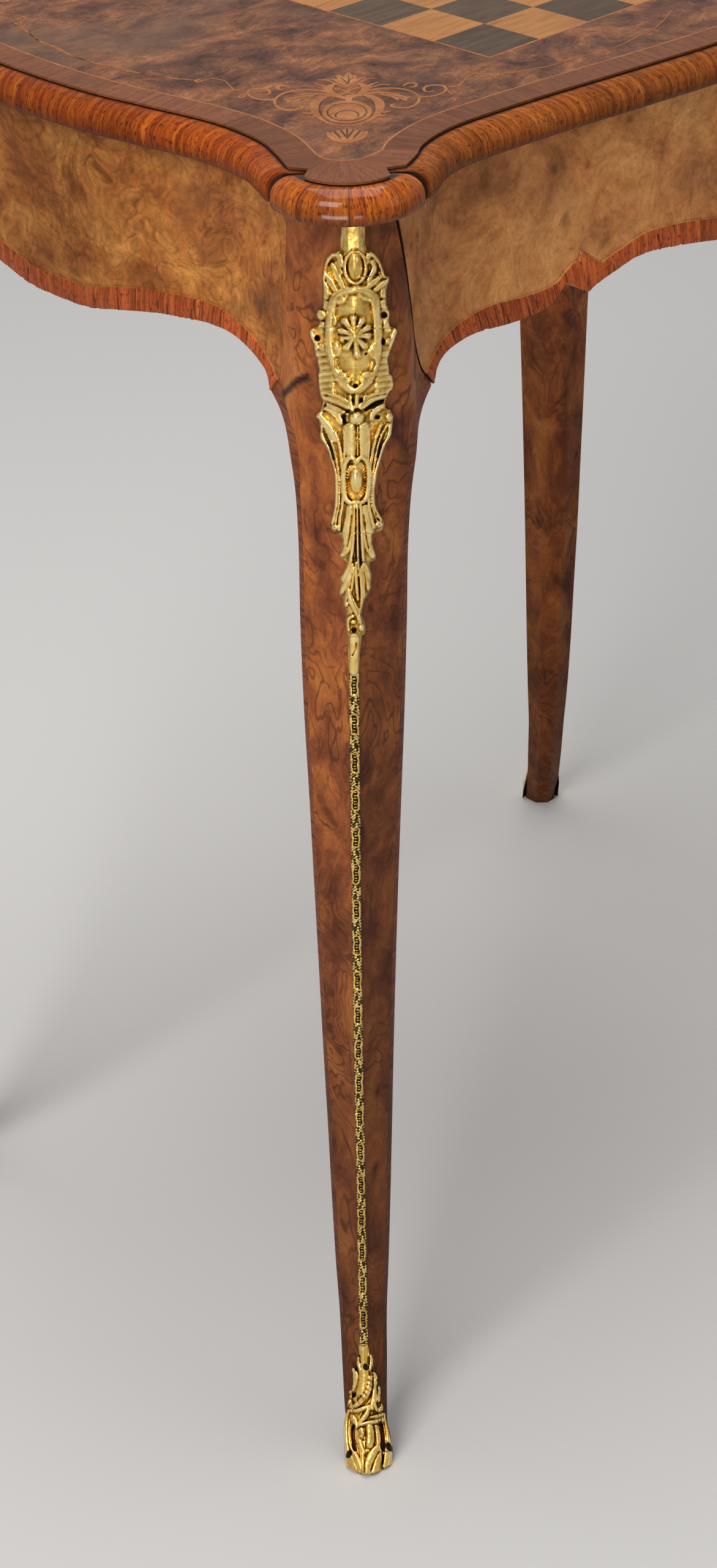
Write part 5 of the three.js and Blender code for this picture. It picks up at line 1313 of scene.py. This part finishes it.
down = np.repeat(np.linspace(mount_left[0, 0], mount_left[-1, 0], 500)[:, None], 88, 1)
left, right = np.interp(down, *mount_left.T), np.interp(down, *mount_right.T)
u = left + (right - left) * np.linspace(0, 1, 88)
relief, soil_and_shade = chased(u, down, mount_marks)
rim = np.minimum(nearest(u, down, np.stack([left[:, 0], down[:, 0]], 1), 3)[0],
                 nearest(u, down, np.stack([right[:, 0], down[:, 0]], 1), 3)[0])
depth = thickness(u, smoothed(relief, 1), 2.5, 1.5, rim, 1.3)
points, faces, soil_and_shade = ringed(u, down, mount_top, depth, soil_and_shade)
cast("corner_mount", points, faces, soil_and_shade, [gilt])

# Strips on the front edges of the legs
# Slim cast bronze, gilded, pinned down each edge from the mount to the foot: barred slots and
# scrolls in turn.
strip_top, strip_foot, strip_pitch, strip_half = 491, 75, 21.9, 2.3
down = np.repeat(np.linspace(0, 1, 1100)[:, None] * (strip_top - strip_foot), 17, 1)
turn = down / strip_pitch % 1
u = np.linspace(-strip_half, strip_half, 17)[None, :] * (
    1 + .05 * np.cos(down / strip_pitch * 2 * math.pi))
past_slot = np.clip(np.abs(turn - .32) * strip_pitch - 4.4, 0, None)
from_slot = np.hypot(u + .2 * np.sin(down * 1.1), past_slot)
ring_of = 1 - np.clip(np.abs(from_slot - 1.45) / .5, 0, 1) ** 2
scroll = np.cos(u * 2.2 + 2.2 * np.sin(down * 1.3)) * np.cos(down * 1.9 - np.abs(u) * 1.2)
in_slot = from_slot < 1.05
barred = np.cos(down * 2 * math.pi / 1.7) > .1
relief = .45 + np.where(from_slot < 2, .55 * ring_of + np.where(in_slot & barred, .25, 0),
                        .35 + .3 * scroll)
# painted shade: black in the slots between the bars, darker round them and in the low places of the
# scrolls
soil_and_shade = np.where(in_slot, np.where(barred & (np.abs(u) < .8), .4, 2.4),
                np.where(from_slot < 2, .35, np.clip(.75 - 1.2 * scroll, 0, 1.5)))
depth = thickness(u, relief, .7, .75, strip_half - np.abs(u), .5)
points, faces, soil_and_shade = ringed(u, down, strip_top, depth, soil_and_shade)
cast("arris_strip", points, faces, soil_and_shade, [gilt])

# Sabots
# Cast and gilded bronze shoes over the feet, pierced at each side and held by dark nails: a stem
# and curling leaves, a shell in a beaded curve, crossed folds, and a lobed toe.
shoe_top = 74.5
shoe_line = np.array([
    [-12.5, 46], [-11.9, 41.5], [-11.1, 39.4], [-10.4, 37.4], [-10, 34.6], [-9.7, 32.4],
    [-9.2, 29.4], [-8.8, 26.2], [-7.3, 25.6], [-7, 13.8], [-6.3, 12.9], [-5.2, 13.8], [-4.4, 13],
    [-4, 7.5], [-3.4, 6.6], [-2.9, 1.8], [-2.5, -.2], [1.6, -.2], [2.1, .2], [2.8, 3.2], [3.1, 6.2],
    [3.9, 5.6], [4.6, 7.7], [4.8, 15.8], [5.6, 16.3], [6.5, 17.4], [6.9, 23.9], [7.9, 23.4],
    [8.4, 25.2], [8.5, 33.2], [9.4, 33.9], [9.8, 37], [10.7, 39.5], [11.3, 42.6], [12, 46],
    [13.1, 51.5], [13.8, 55]])
shoe_marks = [
    ("bead", [2.2, 2, 2], 1.7, [[-.4, -.2], [-.6, 6.8], [-.8, 12]]),
    ("cut", [.4], .8, [[-2.4, .9], [-.4, 1.4], [1.6, .9]]),
    ("bead", [.8, 1.1, .8], 2, [[3.9, 6.4], [3.9, 11.3], [2.9, 15.6]]),
    ("bead", [.7, 1, .8], 1.8, [[-3.4, 7.7], [-3.3, 11.9], [-2.5, 16]]),
    ("cut", [.5], 1, [[-2.4, 7], [-2.3, 11]]), ("cut", [.5], 1, [[2.5, 8], [2.5, 12]]),
    ("bead", [1, 1.3, 1, .8], 2.2, [[-6.1, 13.8], [-5, 17.8], [-5.4, 22.9], [-6.9, 26.5],
        [-8.4, 26.9]]),
    ("hole", [.8, 1.6], 2.4, [[-4.6, 14.6]]), ("hole", [1.3, 1.6], 2.6, [[-6.2, 29]]),
    ("bead", [1.1, 1.2], 2.3, [[5.3, 17.2], [5.9, 21], [5.2, 25.6], [6.6, 29.6]]),
    ("bead", [.8, 1, 1], 2, [[7.8, 24.4], [7.4, 28.7], [7.1, 32.6]]),
    ("cut", [.5], 1.3, [[6.6, 24], [6.5, 29]]),
    ("bead", [2.4, 2.6, 2.2], 1.5, [[-.7, 16], [-.5, 22], [-2.6, 29]]),
    ("bead", [1.5], 2.4, [[3.3, 20.2], [2.6, 25.1], [.5, 29.9], [-2.9, 34], [-5.9, 35.8],
        [-8.4, 35], [-9, 32.6]]),
    *[("cut", [.35], .9, [[a, b], [c, d]]) for a, b, c, d in ((1.6, 22, 4, 22.6),
        (1.2, 24.4, 3.8, 25.6), (.2, 26.8, 2.8, 28.6), (-1, 28.8, 1.2, 31.2),
        (-2.6, 30.4, -.8, 33.4), (-4.4, 32.2, -3.4, 35.6), (-6.4, 33.4, -6.2, 37),
        (-7.6, 33.2, -9.2, 36))],
    ("cut", [.5], 1.2, [[4.4, 20], [3.9, 26.5], [2, 32], [-1.5, 36.4], [-7, 37.8]]),
    ("bead", [1, 1.5, 1.2], 2.3, [[5.2, 26.8], [4.9, 32.1], [3.6, 37.8]]),
    ("bead", [.8, 1.2, .9], 2.5, [[4.6, 33], [6, 38], [8.3, 37.4], [9.2, 34.8]]),
    ("bead", [.8, 1.2, 1], 2.2, [[-9.3, 37.6], [-4.3, 38.6], [2.3, 37], [5, 35]]),
    ("bead", [1.1, 1.6, .7], 2.6, [[1.6, 38.6], [.2, 41.7], [-2.4, 44.6], [-3.9, 46.6]]),
    ("cut", [.5], 1.1, [[-.9, 39.6], [-2.9, 43.2]]),
    ("bead", [1.2, 1.5, .9], 2, [[-7.7, 41.2], [-6.1, 44.6], [-5.3, 47.8]]),
    ("bead", [.8, 1.3, 1.2], 2.5, [[-4, 47.3], [2.1, 46], [7.4, 44], [10.1, 42.4]]),
    ("bead", [.7, 1.1, .9], 2.4, [[2.8, 43], [6.8, 41.6], [10, 39.6]]),
    ("cut", [.4], 1, [[3.4, 41.8], [8.8, 39.4]]), ("cut", [.4], 1, [[3.6, 44.6], [9.6, 42]]),
    ("cut", [.4], 1.2, [[-3.6, 48.4], [2.4, 47.4], [6.6, 46]]),
    ("bead", [.9, 1.1, 1], 2.3, [[-9.4, 37.6], [-10.7, 42], [-11.3, 48.3], [-11.2, 55.2],
        [-10.6, 60]]),
    ("bead", [.5, .6, .6], 2, [[-8.9, 43], [-9.6, 49.7], [-9.2, 56.6], [-7.8, 61]]),
    ("bead", [.9, 1.1, 1.1], 2.3, [[10.2, 39.8], [11, 44.7], [11.7, 50.1], [11.8, 54.9]]),
    ("bead", [1.2, 1.4, 1.2], 2, [[-2.7, 49.6], [-2.4, 52.6], [-4, 55.3], [-3.1, 59.4],
        [-1.9, 62.6]]),
    ("bead", [1.4, 1.2], 2.6, [[-2.1, 52]]), ("cut", [.5], 1.2, [[-3.6, 54.4], [-1.4, 55.4]]),
    ("bead", [1.8, 2, 1.8], 2.4, [[2, 48.4], [2.2, 53], [1.6, 58.4]]),
    ("bead", [1, 1.2, 1.1], 2, [[5.6, 47.6], [6.3, 52.1], [6.4, 58]]),
    ("cut", [.4], 1.1, [[-.4, 49], [-.2, 54], [-.6, 60]]),
    ("cut", [.4], 1, [[4.3, 48.4], [4.6, 54], [4.2, 59]]),
    ("bead", [2, 2.6, 2], 1.9, [[-9.9, 63.6], [-8.7, 67.6], [-6.8, 71]]),
    ("bead", [1.2, 1.7, 1.4], 2.4, [[-7.2, 62.3], [-5.3, 67], [-4, 72]]),
    ("bead", [1.1, 1.4, 1.2], 2, [[-2.6, 63], [-2.7, 68], [-2.4, 73]]),
    ("bead", [2, 2.6, 2.4], 2.9, [[6.2, 60], [2.9, 64.6], [.3, 69.4], [-.6, 74]]),
    ("bead", [1.1, 1.8, 1.8], 2.5, [[7.2, 62.8], [5.5, 68], [3.6, 73.4]]),
    ("cut", [.5], 1.2, [[6.6, 61.8], [3.9, 66.6], [1.6, 73]]),
    ("cut", [.5], 1.2, [[.4, 62.4], [-1.4, 68], [-1.7, 74]]),
    ("hole", [.8], 1.8, [[8.2, 62.6], [8.6, 67.8], [7.8, 72]]),
    ("bead", [1.5, 1.7, 1.4], 2.3, [[11, 62.4], [10.6, 66.5], [9.6, 69.6]]),
    ("nail", [1.3, 1.6], 3, [[.6, 14.2]]), ("nail", [1.5, 1.7], 3, [[-10.1, 62.4]]),
    ("nail", [1.5, 1.7], 3, [[12.3, 58]])]
shoe_windows = [
    [[-6.9, 46.8], [-7.3, 51], [-7, 56], [-6.6, 60]], [[8, 45.6], [8.6, 50], [8.8, 55], [8.6, 60]]]
u = np.repeat(np.linspace(shoe_line[0, 0], shoe_line[-1, 0], 124)[None, :], 190, 0)
t = np.linspace(0, 1, len(u))[:, None]
# the toe has to end level with the floor: where it is drawn depends on its depth, and that on it
low = 73.5 - (np.sqrt(u**2 + 64) - 9.2)
for _ in range(3):
    down = np.interp(u, *shoe_line.T) * (1 - t) + low * t
    relief, soil_and_shade = chased(u, down, shoe_marks)
    edge = np.stack([u[0], down[0]], 1)
    rim = np.minimum(nearest(u, down, edge, 3)[0], np.minimum(u - u[0, 0], u[0, -1] - u))
    depth = thickness(u, relief, np.interp(down, [22, 56], [2.5, 7]), 1.3, rim, 1.1)
    low = np.broadcast_to(shoe_top - .55 - depth[-1] * drawn_lean(floor_gap), u.shape)
pierced = np.minimum(*[nearest(u, down, through(w, 30), 2)[0] for w in shoe_windows]) < 1.1
back = np.abs(u) - back_gap
depth = np.where(pierced, back - .1, depth)
points = np.concatenate([on_corner(u, down, shoe_top, d).reshape(-1, 3) for d in (depth, back)])
faces = slab_faces(*u.shape).tolist()
# the leg's walnut shows through where all four corners of a face are pierced
shows = (pierced[:-1, :-1] & pierced[1:, :-1] & pierced[:-1, 1:] & pierced[1:, 1:]).ravel()
choice = np.concatenate([shows, np.zeros(len(faces) - len(shows), bool)]).astype(int)
# how dark it is painted: painted shade in deep places and holes, dark nail heads, and a darker back
soil_and_shade = np.concatenate([cavity_shade_and_grime(np.abs(u) - depth, soil_and_shade), np.full(u.shape, back_darkness)])
cast("sabot", points, faces, soil_and_shade, [gilt, leg_walnut], choice)

# Floor, light and camera
# A plain paper floor under soft lamps, which stand for the window and the room of the photo, and
# the camera that took it.
floor_mesh = bpy.data.meshes.new("studio_floor")
floor_mesh.from_pydata([(-9, -9, 0), (9, -9, 0), (9, 9, 0), (-9, 9, 0)], [], [(0, 1, 2, 3)])
floor = bpy.data.objects.new("studio_floor", floor_mesh)
bpy.context.scene.collection.objects.link(floor)
floor_paint, tree, shader = finish_of("studio_paper", .9)
feed(shader, Base_Color="#c3c1bf")
floor_mesh.materials.append(floor_paint)

world = bpy.data.worlds.new("studio")
bpy.context.scene.world = world
world.use_nodes = True
sky = world.node_tree.nodes["Background"]
ray = put(world.node_tree, "LightPath")
seen = put(world.node_tree, "Math", {"operation": "MAXIMUM"}, in0=ray.outputs["Is Camera Ray"],
           in1=ray.outputs["Is Glossy Ray"])
bright = put(world.node_tree, "MapRange", Value=seen, To_Min=.3, To_Max=.6)
feed(sky, Color="#ffffff", Strength=bright)

# soft lamps as place and size in metres and power in watts, turned to face the middle of the table
aim = (0, 0, .45)
for name, place, wide, tall, power in (
        ("key_left", (-2.7, -.8, 2.8), 1.6, 1.6, 95), ("fill_right", (1.2, -3.2, 1.7), 2.2, 2.2, 8),
        ("top_soft", (.1, .15, 3.2), 2.2, 2.2, 62), ("glint_left", (-2.6, -1.3, .15), 1.7, .3, 24),
        ("glint_front", (-1.6, -2.4, .2), .5, .2, 4)):
    light = bpy.data.lights.new(name, "AREA")
    light.shape, light.size, light.size_y, light.energy = "RECTANGLE", wide, tall, power
    lamp = bpy.data.objects.new(name, light)
    bpy.context.scene.collection.objects.link(lamp)
    away = np.array(place) - aim
    lamp.location = place
    lamp.rotation_euler = (math.acos(away[2] / np.linalg.norm(away)), 0,
                           math.atan2(away[1], away[0]) + math.pi / 2)

# the photo's camera, its place in millimetres, as solved from the squares, the legs and the top
camera_place = np.array([-1036.73, -953.72, 1130.08])
yaw, pitch, roll = .77986, .57082, .02205
ahead = np.array([math.sin(yaw) * math.cos(pitch), math.cos(yaw) * math.cos(pitch),
                  -math.sin(pitch)])
right = np.array([math.cos(yaw), -math.sin(yaw), 0])
down = np.cross(ahead, right)
across_view = math.cos(roll) * right + math.sin(roll) * down
up_view = math.sin(roll) * right - math.cos(roll) * down
camera = bpy.data.objects.new("camera", bpy.data.cameras.new("camera"))
camera.data.lens = 63.71
camera.data.sensor_width = 36
camera.data.sensor_fit = "AUTO"
bpy.context.scene.collection.objects.link(camera)
turn = np.eye(4)
turn[:3, :3] = np.stack([across_view, up_view, -ahead], 1)
turn[:3, 3] = camera_place * mm
camera.matrix_world = turn.T.tolist()
bpy.context.scene.camera = camera
bpy.context.scene.view_settings.view_transform = "Standard"
